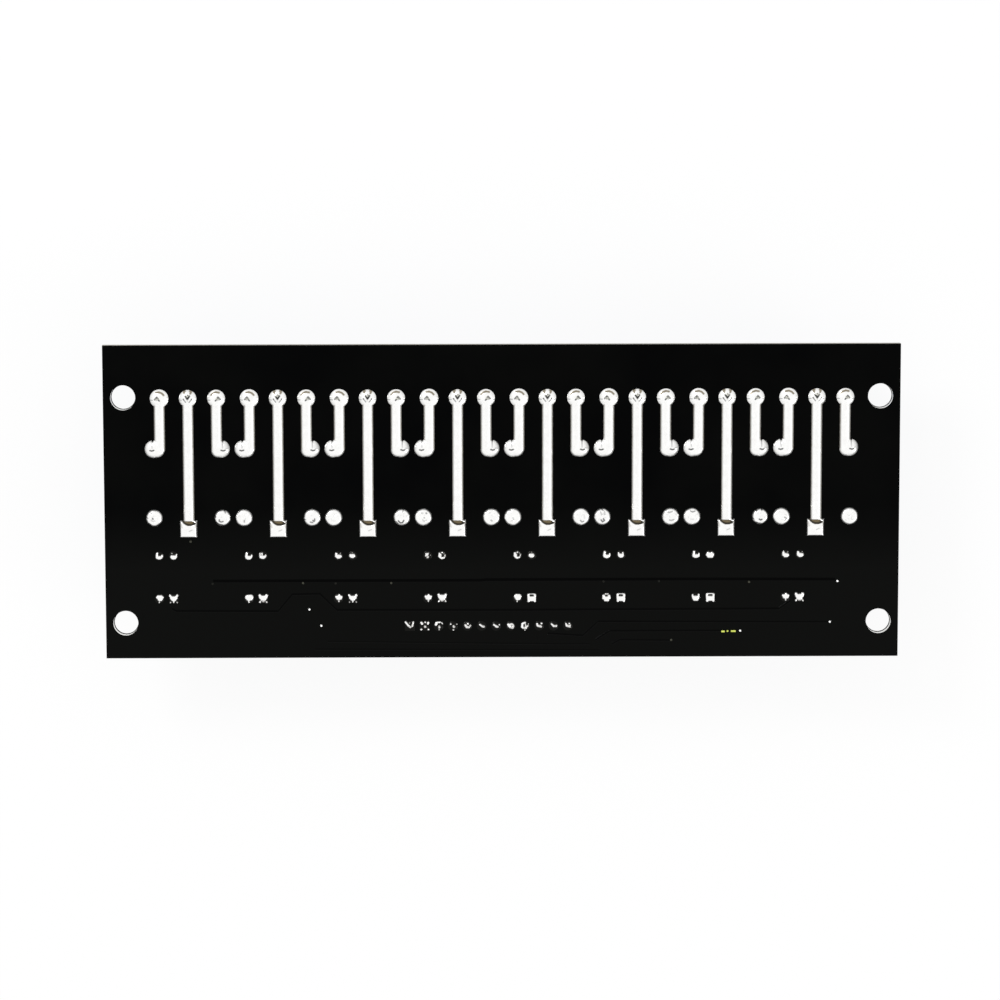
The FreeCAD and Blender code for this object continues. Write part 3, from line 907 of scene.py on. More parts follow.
def outer_track(pin_x, relay_x, side, seed):
    """The relief of the left or the right track of a channel."""
    def shape(x, y):
        joint = terminal_joint(x - pin_x, y - PIN_ROW, JOINT_RADII[side], side, seed)
        bar = bead(x - pin_x, y, PIN_ROW, CONTACT_ROW, seed + 10)
        toe = foot(x - relay_x, y - CONTACT_ROW, side, seed + 20)
        return highest([joint, bar, toe], softness=0.03)
    low = (min(pin_x, relay_x) - OUTER_MARGIN, CONTACT_ROW - MARGIN)
    high = (max(pin_x, relay_x) + OUTER_MARGIN, PIN_ROW + OUTER_MARGIN)
    return relief_arrays(low, high, TRACK_STEP, shape)


def common_track(pin_x, relay_x, seed):
    """The relief of the middle track, with the hollow before its square joint."""
    def shape(x, y):
        joint = terminal_joint(x - pin_x, y - PIN_ROW, JOINT_RADII[0], 0, seed)
        bar = bead(x - pin_x, y, PIN_ROW, COMMON_ROW + MIDDLE_BAR_STOP, seed + 10)
        toe = square_joint(x - relay_x, y - COMMON_ROW, seed + 20)
        height, stain, shade = highest([joint, bar, toe], softness=0.02)
        x, y = x - relay_x, y - COMMON_ROW
        hollow, above_lip = crescent(x, y)
        # painted shade along the hollow's lower lip and at its ends
        rim = np.clip((0.50 - above_lip) / 0.30, 0, 1)
        rim = np.maximum(rim, np.clip((np.abs(x - 0.05) - 0.62) / 0.20, 0, 1))
        height = height * (1 - hollow) + hollow * np.minimum(height, HOLLOW_FLOOR)
        stain = stain * (1 - hollow) + hollow
        shade = shade * (1 - hollow) + 0.95 * hollow * rim
        return height, stain, shade
    low = (min(pin_x, relay_x) - MARGIN, COMMON_ROW - MARGIN)
    high = (max(pin_x, relay_x) + MARGIN, PIN_ROW + MARGIN)
    return relief_arrays(low, high, TRACK_STEP, shape)


terminal_pins_x = sorted(middle(box)[0] for box in terminal_pin_boxes)
for number, channel in enumerate(CHANNELS):
    left, centre, right = terminal_pins_x[3 * number:3 * number + 3]
    contacts = sorted(x for x, y, _ in map(middle, pin_boxes)
                      if abs(x - channel) < RELAY_REACH and y > CONTACT_ROW - 1)
    seed = 100 * number
    solder_piece("load_tracks_%d" % (number + 1),
                 [outer_track(left, contacts[0], -1, seed),
                  common_track(centre, channel, seed + 30),
                  outer_track(right, contacts[1], 1, seed + 60)], "load_tracks")

# %% [markdown]
# ## Coil joints
#
# The two coil pins of each relay get a plain round joint. Dip soldering leaves each one a
# little different: here a hook where the solder peaked, there a nick in the rim. The list
# gives every joint's radius and its marks, from left to right. A mark starts with its
# darkness, which is painted shade, and then come the places that it runs through, counted
# from the joint's centre.

# %% Marks on the coil joints
COIL_JOINTS = [
    (1.46, [(0.8, (-0.26, -0.02), (-0.20, -0.15)), (0.4, (-0.75, 1.1), (-0.45, 0.75)),
            (0.3, (-0.5, -0.3), (-0.3, -0.55), (0.1, -0.55)),
            (0.6, (-1.4, 0.1), (-1.15, 0.0)), (0.6, (-0.95, -1.0), (-0.65, -1.2))]),
    (1.43, [(0.75, (-0.55, -0.3), (-0.55, -0.55), (-0.2, -0.7), (0.1, -0.6)),
            (0.7, (-1.1, -0.8), (-0.65, -1.1), (-0.1, -1.25)),
            (0.6, (0.4, 1.35), (0.55, 0.95)), (0.6, (-1.45, 0.3), (-1.2, 0.2))]),
    (1.505, [(0.55, (0.05, -0.4), (0.08, -0.7)), (0.25, (0.3, 0.5), (0.55, 0.75))]),
    (1.515, [(0.7, (0.45, -0.2), (0.45, -0.5), (0.15, -0.85), (-0.3, -0.75)),
            (0.8, (0.15, -0.45), (0.25, -0.65)), (0.4, (-1.35, -0.35), (-1.15, -0.35))]),
    (1.505, [(0.15, (0.1, 0.4), (0.45, 0.6)), (0.12, (-0.2, -0.5), (0.2, -0.6))]),
    (1.46, [(0.85, (-0.6, -0.58), (-0.26, -0.95), (0.1, -0.9), (0.35, -0.5)),
            (0.5, (0.25, 1.35), (0.25, 1.0)), (0.3, (-1.0, -0.8), (-0.7, -1.1))]),
    (1.515, [(0.4, (-0.25, 0.8), (-0.1, 0.7)), (0.6, (0.5, 0.8), (0.6, 0.72)),
            (0.5, (0.16, -0.03), (0.2, -0.06)),
            (0.3, (-0.1, -0.4), (0.15, -0.7), (0.5, -0.5))]),
    (1.515, [(0.2, (-0.4, 0.8), (-0.1, 0.8)), (0.5, (-0.08, -0.5), (0.1, -0.65))]),
    (1.52, [(0.5, (-0.6, 1.35), (-0.45, 1.15)), (0.4, (0.0, -0.14), (0.0, -0.67)),
            (0.35, (-0.2, -0.55), (0.2, -0.55))]),
    (1.515, [(0.6, (-0.1, -0.6), (0.15, -0.85), (0.45, -0.75))]),
    (1.47, [(0.8, (-0.25, -0.5), (0.0, -0.85), (0.35, -0.6), (0.15, -0.3)),
            (0.35, (-0.35, 0.9), (-0.15, 0.4)), (0.4, (0.4, 1.0), (0.4, 0.4)),
            (0.6, (-0.1, 1.5), (0.1, 1.2))]),
    (1.515, [(0.5, (-0.45, 0.85), (-0.3, 0.75), (0.35, 0.95)),
            (0.5, (-0.2, -0.55), (0.1, -0.65), (0.55, -0.5))]),
    (1.515, [(0.6, (-0.25, 1.05), (0.1, 0.85), (0.5, 1.0)),
            (0.2, (-0.3, -0.45), (0.3, -0.45))]),
    (1.40, [(0.8, (-0.8, 1.25), (-0.55, 0.95)), (0.8, (0.3, 1.4), (0.3, 1.15)),
            (0.85, (-0.15, -0.45), (0.1, -0.6), (0.3, -0.5)),
            (0.4, (-1.3, -0.3), (-1.1, -0.5)), (0.3, (-0.7, -1.1), (0.1, -1.25))]),
    (1.515, [(0.55, (0.55, -0.15), (0.85, -0.3), (0.6, -0.6))]),
    (1.515, [(0.12, (0.3, -0.3), (0.3, 0.1))])]
print("marks on the coil joints:", sum(len(marks) for _, marks in COIL_JOINTS))

# %% [markdown]
# Each joint is a flat-topped drop with a slightly wavy outline, and each mark is a shallow
# groove in it, painted dark as shade. The joints could be sculpted by hand, but from a list
# each of them can be corrected on its own. Random lumps add faint spots, and the rim on the
# side that is turned away from the terminals is painted darker and olive, as shade.

# %% Build the coil joints
COIL_HEIGHT = 0.54
COIL_STEP = 0.065
COIL_MARK_WIDTH = 0.125
COIL_MARK_DEPTH = 0.08
SHADED_RIM_FROM = 0.82                  # share of the radius where the lower rim starts to darken


def lumpy_joint(centre, radius, marks, seed):
    """A flat drop of solder that carries a list of marks."""
    def shape(x, y):
        x, y = x - centre[0], y - centre[1]
        wave = 1 + 0.015 * lumps(x, y, 0.8, seed) + 0.01 * lumps(x, y, 0.35, seed + 5)
        height = drop(np.hypot(x, y) / wave, radius, COIL_HEIGHT, power=6.0)
        height = height + 0.02 * lumps(x, y, 0.55, seed + 1)
        shade = 0.2 * np.clip(lumps(x, y, 0.24, seed + 3) * 3 - 1.4, 0, 1)
        for darkness, *places in marks:
            mark = path(x, y, places, COIL_MARK_WIDTH)
            height = height - COIL_MARK_DEPTH * mark
            shade = np.maximum(shade, darkness * crisp(mark))
        # painted shade, tinted olive, on the rim turned away from the terminals
        lower = np.clip(-(x * 0.4 + y) / radius - SHADED_RIM_FROM, 0, 1)
        return height, 0.8 * lower, shade + 0.5 * lower
    reach = radius * REACH
    return relief_arrays(centre[:2] - reach, centre[:2] + reach, COIL_STEP, shape)


coil_places = left_to_right(map(middle, islands("coil_joints")))
solder_piece("coil_joints_detailed",
             [lumpy_joint(place, radius, marks, 50 * index) for index, (place, (radius, marks))
              in enumerate(zip(coil_places, COIL_JOINTS))], "coil_joints")

# %% [markdown]
# ## Small joints
#
# The joints of the optocouplers and of the input header are small and steep. Most of each
# one reflects the black board, which is painted in as dark, and only its lobes catch the
# light: wings at the corners of the square pads, a bowl with a notch, a blob with a droplet
# under it. Each lobe below is a short thick line: where it starts and ends from the middle
# of the joint, its half-width and how bright it is, that is how far it keeps the painted
# dark away.

# %% Lobes of the upper joints
DUCK = [
    (-0.34, -0.2, 0.36, -0.18, 0.29, 1), (-0.14, -0.34, 0.18, -0.34, 0.26, 1),
    (-0.42, -0.02, -0.33, 0.52, 0.24, 1), (0.5, -0.1, 0.54, 0.18, 0.17, 1)]
DUCKLING = [
    (-0.28, -0.02, 0.36, -0.06, 0.33, 1), (-0.08, -0.22, 0.22, -0.22, 0.29, 1),
    (-0.36, 0.1, -0.34, 0.4, 0.24, 1), (0.4, 0.44, 0.42, 0.5, 0.1, 0.45)]
BOWL = [
    (-0.26, -0.14, 0.36, -0.12, 0.31, 1), (-0.12, -0.32, 0.24, -0.32, 0.3, 1),
    (0.5, 0, 0.56, 0.28, 0.15, 1), (-0.28, 0.46, -0.2, 0.5, 0.1, 0.5)]
TWO_HEADS = [
    (-0.38, -0.18, 0.34, -0.16, 0.29, 1), (-0.18, -0.3, 0.18, -0.3, 0.25, 1),
    (-0.52, 0.1, -0.48, 0.44, 0.14, 0.9), (-0.1, 0.28, -0.1, 0.46, 0.16, 1),
    (0.5, 0, 0.52, 0.14, 0.16, 0.9)]
PEBBLE = [
    (-0.24, 0, 0.14, 0, 0.36, 1), (-0.14, -0.12, 0.08, -0.12, 0.33, 1),
    (-0.06, 0.56, 0, 0.58, 0.08, 0.4)]
CRUMBS = [
    (-0.2, 0.3, 0, 0.24, 0.2, 1), (0.08, 0.42, 0.14, 0.36, 0.14, 0.9),
    (-0.34, -0.08, -0.16, 0, 0.15, 0.8), (0.06, -0.16, 0.12, -0.24, 0.14, 0.8),
    (-0.14, -0.38, 0.08, -0.38, 0.12, 0.6), (0.48, 0.05, 0.5, 0.1, 0.09, 0.4)]
RING = [
    (-0.42, 0.36, -0.46, -0.06, 0.21, 1), (-0.4, -0.16, -0.1, -0.42, 0.23, 1),
    (0, -0.48, 0.36, -0.36, 0.18, 1), (0, 0.54, 0.08, 0.56, 0.16, 1),
    (-0.26, 0, -0.2, 0.1, 0.21, 0.95), (0.5, -0.14, 0.56, 0.12, 0.13, 0.7),
    (0.34, 0.36, 0.38, 0.42, 0.1, 0.5)]
CAT = [
    (-0.24, -0.08, 0.22, -0.08, 0.33, 1), (-0.08, -0.26, 0.12, -0.26, 0.27, 1),
    (-0.4, 0.1, -0.42, 0.36, 0.17, 1), (0.36, 0.1, 0.34, 0.38, 0.16, 0.95)]
HEAP = [
    (-0.42, 0, 0.26, 0, 0.4, 1), (-0.28, -0.28, 0.18, -0.28, 0.36, 1),
    (-0.48, 0.28, -0.44, 0.34, 0.21, 1), (0.14, 0.28, 0.2, 0.34, 0.19, 1)]
UPPER_STYLES = [DUCK, BOWL, DUCK, TWO_HEADS, DUCKLING, PEBBLE, CRUMBS, RING,
                RING, PEBBLE, DUCK, CAT, DUCK, HEAP, DUCKLING, DUCKLING]
print("upper joints:", len(UPPER_STYLES))

# %% [markdown]
# The lower row has a round pad and a square pad for each optocoupler. Solder on a square
# pad climbs into the corners, so those joints have wings or four bright corners.

# %% Lobes of the lower joints
BLOB = [
    (-0.08, 0.28, 0.3, 0.28, 0.44, 1), (0.02, -0.02, 0.22, -0.02, 0.39, 1),
    (-0.38, 0.28, 0.6, 0.3, 0.22, 1), (0, -0.58, 0, -0.6, 0.14, 0.95),
    (0, -0.36, 0.02, -0.4, 0.1, 0.5)]
ROUND = [
    (-0.26, 0.28, 0.36, 0.32, 0.45, 1), (-0.1, 0.08, 0.28, 0.1, 0.41, 1),
    (-0.06, -0.3, 0, -0.58, 0.17, 0.95)]
STAR = [
    (-0.32, 0.32, 0.54, 0.32, 0.27, 1), (-0.06, 0.12, 0.3, 0.12, 0.38, 1),
    (0.12, 0.56, 0.16, 0.62, 0.21, 1), (0.12, -0.44, 0.12, -0.48, 0.14, 0.9),
    (0.1, -0.22, 0.12, -0.26, 0.11, 0.6)]
BUTTERFLY = [
    (-0.62, 0.62, -0.36, 0.26, 0.24, 1), (0.64, 0.62, 0.38, 0.26, 0.24, 1),
    (-0.34, 0.18, 0.36, 0.18, 0.34, 1), (-0.14, -0.1, 0.16, -0.1, 0.31, 1),
    (0, -0.42, 0, -0.58, 0.13, 0.95), (-0.58, -0.64, -0.54, -0.6, 0.13, 0.7),
    (0.64, -0.62, 0.6, -0.58, 0.13, 0.7)]
MOTH = [
    (-0.58, 0.6, -0.46, 0.26, 0.28, 1), (0.6, 0.6, 0.48, 0.26, 0.28, 1),
    (-0.38, 0.26, 0.4, 0.26, 0.36, 1), (-0.2, -0.06, 0.22, -0.06, 0.34, 1),
    (-0.14, -0.48, 0.14, -0.48, 0.11, 0.7), (-0.6, -0.56, -0.54, -0.52, 0.18, 1),
    (0.64, -0.58, 0.58, -0.52, 0.17, 0.9)]
FULL_SQUARE = [
    (-0.58, 0.56, -0.54, -0.56, 0.23, 1), (0.58, 0.56, 0.54, -0.56, 0.23, 1),
    (-0.48, 0.72, 0.48, 0.72, 0.1, 1), (-0.34, -0.08, 0.34, -0.08, 0.36, 1),
    (-0.28, -0.34, 0.28, -0.34, 0.28, 1)]
CRACKED = [
    (-0.5, 0.36, -0.54, -0.08, 0.25, 1), (0.48, 0.32, 0.52, -0.04, 0.26, 1),
    (-0.2, -0.08, 0.22, -0.08, 0.36, 1), (-0.24, -0.42, 0.28, -0.44, 0.25, 1),
    (-0.22, 0.68, 0.26, 0.7, 0.13, 0.95)]
CUP = [
    (-0.5, 0.06, -0.54, 0.44, 0.18, 1), (0.5, 0.06, 0.54, 0.5, 0.18, 1),
    (-0.32, -0.04, 0.34, -0.04, 0.35, 1), (-0.22, -0.36, 0.22, -0.36, 0.32, 1)]
LOWER_STYLES = [BLOB, BUTTERFLY, ROUND, MOTH, STAR, BUTTERFLY, STAR, MOTH,
                BLOB, FULL_SQUARE, CRACKED, FULL_SQUARE, CUP, FULL_SQUARE, STAR, MOTH]
print("lower joints:", len(LOWER_STYLES))

# %% [markdown]
# The header's pins were soldered by hand, and no two joints are alike: most have a bright
# streak where the iron left, and a spot on the pin's blunt end.

# %% Lobes of the header joints
HEADER_LOBES = [
    [(-0.74, 0.74, -0.29, 0.21, 0.2, 1), (-0.26, 0.12, 0.1, -0.14, 0.2, 0.85),
     (0.62, 0.74, 0.45, 0, 0.16, 0.95), (-0.02, 0.58, 0, 0.6, 0.1, 0.5)],
    [(-0.48, 0.68, -0.34, 0.46, 0.24, 1), (0.2, 0.76, 0.22, 0.74, 0.18, 1),
     (0.74, 0.68, 0.68, 0.48, 0.22, 1), (0.18, -0.04, 0.22, -0.08, 0.22, 0.85),
     (-0.52, -0.54, -0.48, -0.52, 0.18, 1), (0.8, -0.54, 0.76, -0.52, 0.18, 1)],
    [(-0.46, 0.34, -0.36, 0.6, 0.24, 1), (-0.26, 0.72, 0.28, 0.78, 0.16, 1),
     (0.6, 0.66, 0.72, 0.5, 0.14, 0.95), (0.16, -0.04, 0.18, -0.18, 0.22, 0.85),
     (0.14, -0.56, 0.14, -0.6, 0.12, 0.65)],
    [(-0.4, 0.38, -0.4, 0.4, 0.17, 1), (0.68, 0.34, 0.68, 0.36, 0.13, 0.65),
     (0.12, -0.04, 0.16, -0.12, 0.22, 0.85), (0.04, -0.66, 0.12, -0.66, 0.15, 1)],
    [(0.12, 0.44, 0.14, 0.44, 0.2, 1), (-0.34, 0.16, -0.18, -0.06, 0.21, 0.95),
     (-0.1, -0.16, 0.26, -0.2, 0.21, 0.85), (0.46, -0.04, 0.56, 0.14, 0.16, 0.75)],
    [(-0.3, 0.28, 0.02, 0.04, 0.18, 1), (0.2, -0.08, 0.38, -0.08, 0.21, 0.85)],
    [(-0.38, 0.27, 0, 0, 0.18, 1), (0.05, -0.08, 0.3, -0.1, 0.2, 0.9),
     (0.62, 0.28, 0.6, 0.24, 0.15, 1)],
    [(-0.36, 0.26, -0.22, 0, 0.26, 1), (0, 0.38, 0.34, 0.34, 0.18, 0.95),
     (0.5, 0.12, 0.5, -0.1, 0.19, 0.9), (-0.1, -0.2, 0.34, -0.32, 0.22, 0.8),
     (0.1, 0.06, 0.15, 0.02, 0.15, 0.7)],
    [(-0.45, 0.34, -0.48, -0.18, 0.25, 1), (-0.3, 0.46, 0.05, 0.62, 0.18, 1),
     (0.1, 0.3, 0.2, -0.08, 0.14, 0.85), (-0.28, -0.34, 0.2, -0.38, 0.21, 0.85),
     (0.3, -0.2, 0.52, 0.02, 0.17, 0.8), (0.62, 0.3, 0.62, 0.34, 0.11, 0.6),
     (0, -0.72, 0.02, -0.78, 0.13, 0.7)],
    [(-0.36, 0.36, -0.3, 0.05, 0.19, 1), (-0.2, 0.04, 0.3, -0.12, 0.22, 0.88),
     (0.42, 0.46, 0.44, 0.46, 0.17, 1)],
    [(-0.34, 0.38, -0.02, 0.08, 0.19, 1), (0, 0, 0.44, -0.02, 0.21, 0.88),
     (0.54, 0.12, 0.56, 0.12, 0.13, 0.75)],
    [(-0.3, 0.38, -0.22, 0.1, 0.19, 1), (-0.15, 0.04, 0.35, -0.12, 0.22, 0.9),
     (0.26, 0.44, 0.3, 0.44, 0.16, 1), (0.46, 0.15, 0.46, 0.1, 0.13, 0.75)]]
print("header joints:", len(HEADER_LOBES))

# %% [markdown]
# A joint's body is a low drop, painted dark as a reflection of the board. Each lobe stands
# out of it as a rounded ridge, and its brightness becomes the mark that keeps the painted
# dark away. A little chance moves and swells the lobes, so that joints of the same kind
# still differ.

# %% Build the small joints
SMALL_STEP = 0.05
SMALL_HEIGHT = 0.16
LOBE_HEIGHTS = (0.18, 0.22)        # of a dark lobe, and what full brightness adds to it
NUDGE = 0.02                       # chance in the place of a joint, and in the size of a lobe
SWELL = 0.04
UPPER_RADIUS = 0.80
LOWER_RADIUS = 0.82
HEADER_RADIUS = 0.84
SQUARE_PADS = range(1, 16, 2)      # every second joint of the lower row
SEED_STEP = 11                     # between the seeds of neighbours
LOBE_ROOM = 0.15                   # for lobes that reach past the drop


def lobed_joint(centre, half, square, lobes, seed):
    """A small joint: bright lobes out of a skirt painted dark as a reflection of the board."""
    chance = np.random.default_rng(seed + 9000)
    nudge = NUDGE * chance.standard_normal(2)
    swell = 1 + SWELL * chance.standard_normal(len(lobes))

    def shape(x, y):
        x, y = x - centre[0] + nudge[0], y - centre[1] + nudge[1]
        distance = np.maximum(np.abs(x), np.abs(y)) if square else np.hypot(x, y)
        height = drop(distance, half, SMALL_HEIGHT, power=3.0)
        bright = np.zeros_like(x)
        for (*line, width, light), larger in zip(lobes, swell):
            away = from_segment(x, y, line[:2], line[2:]) + 0.02 * lumps(x, y, 0.25, seed)
            bulge = np.clip(1.3 - (away / (width * larger)) ** 2, 0, 1)
            raised = (LOBE_HEIGHTS[0] + LOBE_HEIGHTS[1] * light) * np.sqrt(bulge)
            height = np.where(bulge > 0, np.maximum(height, raised), height)
            bright = np.maximum(bright, light * np.clip(bulge * 2.4, 0, 1))
        # shade: the painted reflection of the board wherever no lobe keeps it away
        olive = 0.35 * (1 - bright) + 0.10
        return height, np.where(bright > 0.95, 0, olive), 1 - bright
    reach = half * REACH + LOBE_ROOM
    return relief_arrays(centre[:2] - reach, centre[:2] + reach, SMALL_STEP, shape)


def joint_row(places, half, squares, styles, seed):
    """The reliefs of a row of small joints. squares tells which of them are square."""
    return [lobed_joint(place, half, index in squares, lobes, seed + SEED_STEP * index)
            for index, (place, lobes) in enumerate(zip(left_to_right(places), styles))]


opto_places = [middle(box) for box in islands("optocoupler_joints")]
OPTO_HIGH = max(place[1] for place in opto_places)
upper = [place for place in opto_places if place[1] > OPTO_HIGH - 1]
lower = [place for place in opto_places if place[1] < OPTO_HIGH - 1]
solder_piece("optocoupler_joints_detailed",
             joint_row(upper, UPPER_RADIUS, (), UPPER_STYLES, 0)
             + joint_row(lower, LOWER_RADIUS, SQUARE_PADS, LOWER_STYLES, 500),
             "optocoupler_joints")
solder_piece("header_joints_detailed",
             joint_row(map(middle, islands("header_joints")), HEADER_RADIUS, (0, 1),
                       HEADER_LOBES, 900), "header_joints")

# %% [markdown]
# ## Tops of the terminal pins
#
# Each flat pin of a screw terminal sticks out of its joint by about a millimetre. The wave
# of solder leaves it with four worn corners, so from above its tip looks like a small grey
# diamond. The piece runs down to the clamp, as the pin of the model does.

# %% Build the terminal pins
TIP_FOOT = BOARD_TOP + 0.45
TIP_TOP = terminal_pin_boxes[0][1][2]
TIP_LEVELS = [(TIP_FOOT - 0.3, 0.44, 0.30), (TIP_FOOT, 0.42, 0.29),
              (TIP_TOP - 0.1, 0.32, 0.22), (TIP_TOP, 0.24, 0.16)]   # height and half-widths
TIP_ASIDE = 0.34                   # outer tips, away from the middle one
TIP_BACK = 0.55                    # the middle tip, away from its bar


def diamond_tip(x, y, side):
    """A worn tip, a flat-topped pyramid with four sides. Outer tips lean outwards."""
    x, y = x + TIP_ASIDE * side, y - 0.02 + TIP_BACK * (side == 0)
    points, faces = [], []
    for z, wide, deep in TIP_LEVELS:
        points += [(x - wide, y, z), (x, y - deep, z), (x + wide, y, z), (x, y + deep, z)]
    for first in (0, 4, 8):
        for step in range(4):
            after = (step + 1) % 4
            faces.append((first + step, first + after, first + 4 + after, first + 4 + step))
    faces.append((3, 2, 1, 0))
    faces.append((12, 13, 14, 15))
    return points, faces


def mesh_piece(name, shapes, material, replaced=None, smooth=False):
    """One piece out of many shapes given in millimetres."""
    points, faces = [], []
    for shape_points, shape_faces in shapes:
        offset = len(points)
        points.extend(tuple(np.array(point) * MM) for point in shape_points)
        faces.extend(tuple(index + offset for index in face) for face in shape_faces)
    mesh = bpy.data.meshes.new(name)
    mesh.from_pydata(points, [], faces)
    work = bmesh.new()
    work.from_mesh(mesh)
    bmesh.ops.recalc_face_normals(work, faces=work.faces)
    for face in work.faces:
        face.smooth = smooth
    work.to_mesh(mesh)
    work.free()
    return add_piece(name, mesh, material, replaced)


tinned = finish_of("tinned_copper", (0.72, 0.71, 0.68), (0.52, 0.50, 0.46), (0.9, 0.89, 0.86),
                   roughness=0.32, metallic=1.0, blotch_scale=700.0, wear=0.6)
pin_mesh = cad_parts["terminal_pins"].data
shanks = [(x, y, min(z, TIP_FOOT)) for x, y, z in
          ((np.array(vertex.co) / MM).tolist() for vertex in pin_mesh.vertices)]
shank_faces = [tuple(face.vertices) for face in pin_mesh.polygons]
tips = [diamond_tip(middle(box)[0], PIN_ROW, index % 3 - 1)
        for index, box in enumerate(terminal_pin_boxes)]
worn_tin = finish_of("worn_tin", (0.60, 0.60, 0.54), (0.36, 0.36, 0.31), (0.8, 0.8, 0.76),
                     roughness=0.35, metallic=1.0, blotch_scale=1500.0)
mesh_piece("terminal_pins_tinned", [(shanks, shank_faces)], tinned,
           "terminal_pins")
mesh_piece("terminal_pin_tips", tips, worn_tin, "terminal_pins")

# %% [markdown]
# ## Tracks under the lacquer
#
# Thin copper runs under the solder mask along the lower edge. The lacquer follows it over a
# low step, and every run shows as a slightly darker line with a soft shoulder, painted in
# as shade. Each is a flat-topped ridge in the board's own material, and the stored value
# `copper` darkens it.

# %% Build the buried tracks
TRACK_RISE = 0.035
RIDGE_ROOT = 0.01                  # how far the foot of a ridge reaches into the board
RIDGE_TOP = 0.34                   # half the width of its flat top, as a share of its width
STRIP_POINTS = 4                   # corners of a strip's cross-section
# A track's darkness is painted shade.
BURIED_TRACKS = [                  # width, darkness, and the places that the track runs through
    (0.64, 1.00, [(-51.0, -14.0), (-3.9, -14.0), (-2.9, -13.9), (34.9, -13.9), (58.8, -14.0)]),
    (0.50, 0.80, [(-58.3, -18.9), (-57.6, -19.3), (-39.6, -19.4), (-37.1, -16.4),
                  (-32.2, -16.3), (-29.2, -19.2), (-0.4, -19.3), (48.9, -19.2),
                  (50.9, -17.8)]),
    (0.45, 0.75, [(57.8, -21.6), (16.9, -21.4), (14.2, -23.9), (8.0, -23.5)]),
    (0.45, 0.75, [(42.0, -23.1), (19.0, -23.1), (16.6, -24.6)]),
    (0.45, 0.60, [(29.8, -24.8), (20.8, -24.7), (19.4, -25.4)]),
    (0.45, 0.40, [(-30.9, -24.8), (10.1, -25.4), (15.5, -25.4)]),
    (0.45, 0.40, [(-33.2, -26.2), (17.2, -26.5)])]


def strip(line, width, z, rise):
    """A flat-topped ridge that follows a line over a surface at height z."""
    line = [np.array(place) for place in line]
    root = math.copysign(RIDGE_ROOT, -rise)
    section = ((-0.5, root), (-RIDGE_TOP, rise), (RIDGE_TOP, rise), (0.5, root))
    points, faces = [], []
    for index, place in enumerate(line):
        before = line[max(index - 1, 0)]
        after = line[min(index + 1, len(line) - 1)]
        along = (after - before) / np.linalg.norm(after - before)
        across = np.array([-along[1], along[0]])
        for share, height in section:
            spot = place + across * share * width
            points.append((spot[0], spot[1], z + height))
    end = STRIP_POINTS * (len(line) - 1)
    for first in range(0, end, STRIP_POINTS):
        for step in range(3):
            faces.append((first + step, first + step + 1, first + step + 5, first + step + 4))
        faces.append((first + 3, first, first + 4, first + 7))
    faces.append((3, 2, 1, 0))
    faces.append((end, end + 1, end + 2, end + 3))
    return points, faces


buried = mesh_piece("buried_tracks", [strip(line, width, BOARD_TOP, TRACK_RISE)
                                      for width, _, line in BURIED_TRACKS],
                    board_mask)
darkness = np.repeat([dark for _, dark, _ in BURIED_TRACKS],
                     [STRIP_POINTS * len(line) for _, _, line in BURIED_TRACKS])
buried.data.attributes.new("copper", "FLOAT", "POINT").data.foreach_set("value", darkness)

# %% [markdown]
# ## Vias and worn spots
#
# A via is a small plated hole that joins the two faces. Five of them are bare, and their
# tin rings catch the light; the others are under the lacquer, some under a thin coat and
# some under a thick one. At the lower right the lacquer is scratched through in three
# places, down to yellow-green laminate. A via is a turned shape: a short list of radii and
# heights, swept round in a circle.

# %% Build the vias and the worn spots
BRIGHT_VIAS = [(59.22, -14.32), (57.94, -21.59), (42.07, -23.14), (-34.07, -19.11),
               (-31.99, -22.03)]
DULL_VIAS = [(-35.15, -14.39), (-19.60, -14.44), (43.60, -14.43), (-54.90, -6.95),
             (29.88, -24.77)]
FAINT_VIAS = [(-51.12, -14.47), (-29.41, -14.47), (17.89, -14.26), (27.67, -14.24)]
VIA_RINGS = [(0.20, -0.02), (0.20, 0.03), (0.155, 0.06), (0.075, 0.06), (0.045, 0.01)]
SCRATCHES = [(39.05, -23.26, 0.60), (39.84, -23.19, 0.28), (40.86, -23.21, 0.84)]
SCRATCH_WIDTH = 0.37
SCRATCH_RISE = TRACK_RISE + 0.015  # they lie over the ridge of a buried track


def turned(centre, rings, base=BOARD_TOP, sides=20, hollow=False):
    """A turned shape: each pair in rings is a radius and a height from the base.

    A hollow one closes its outline into a ring, and the others have a flat face at each end.
    """
    points, faces = [], []
    for radius, height in rings:
        for step in range(sides):
            angle = 2 * math.pi * step / sides
            points.append((centre[0] + radius * math.cos(angle),
                           centre[1] + radius * math.sin(angle), base + height))
    last = (len(rings) - 1) * sides
    for first in range(0, last + sides if hollow else last, sides):
        above = (first + sides) % (last + sides)
        for step in range(sides):
            after = (step + 1) % sides
            faces.append((first + step, first + after, above + after, above + step))
    if not hollow:
        faces.append(tuple(range(last, last + sides)))
        faces.append(tuple(range(sides - 1, -1, -1)))
    return points, faces


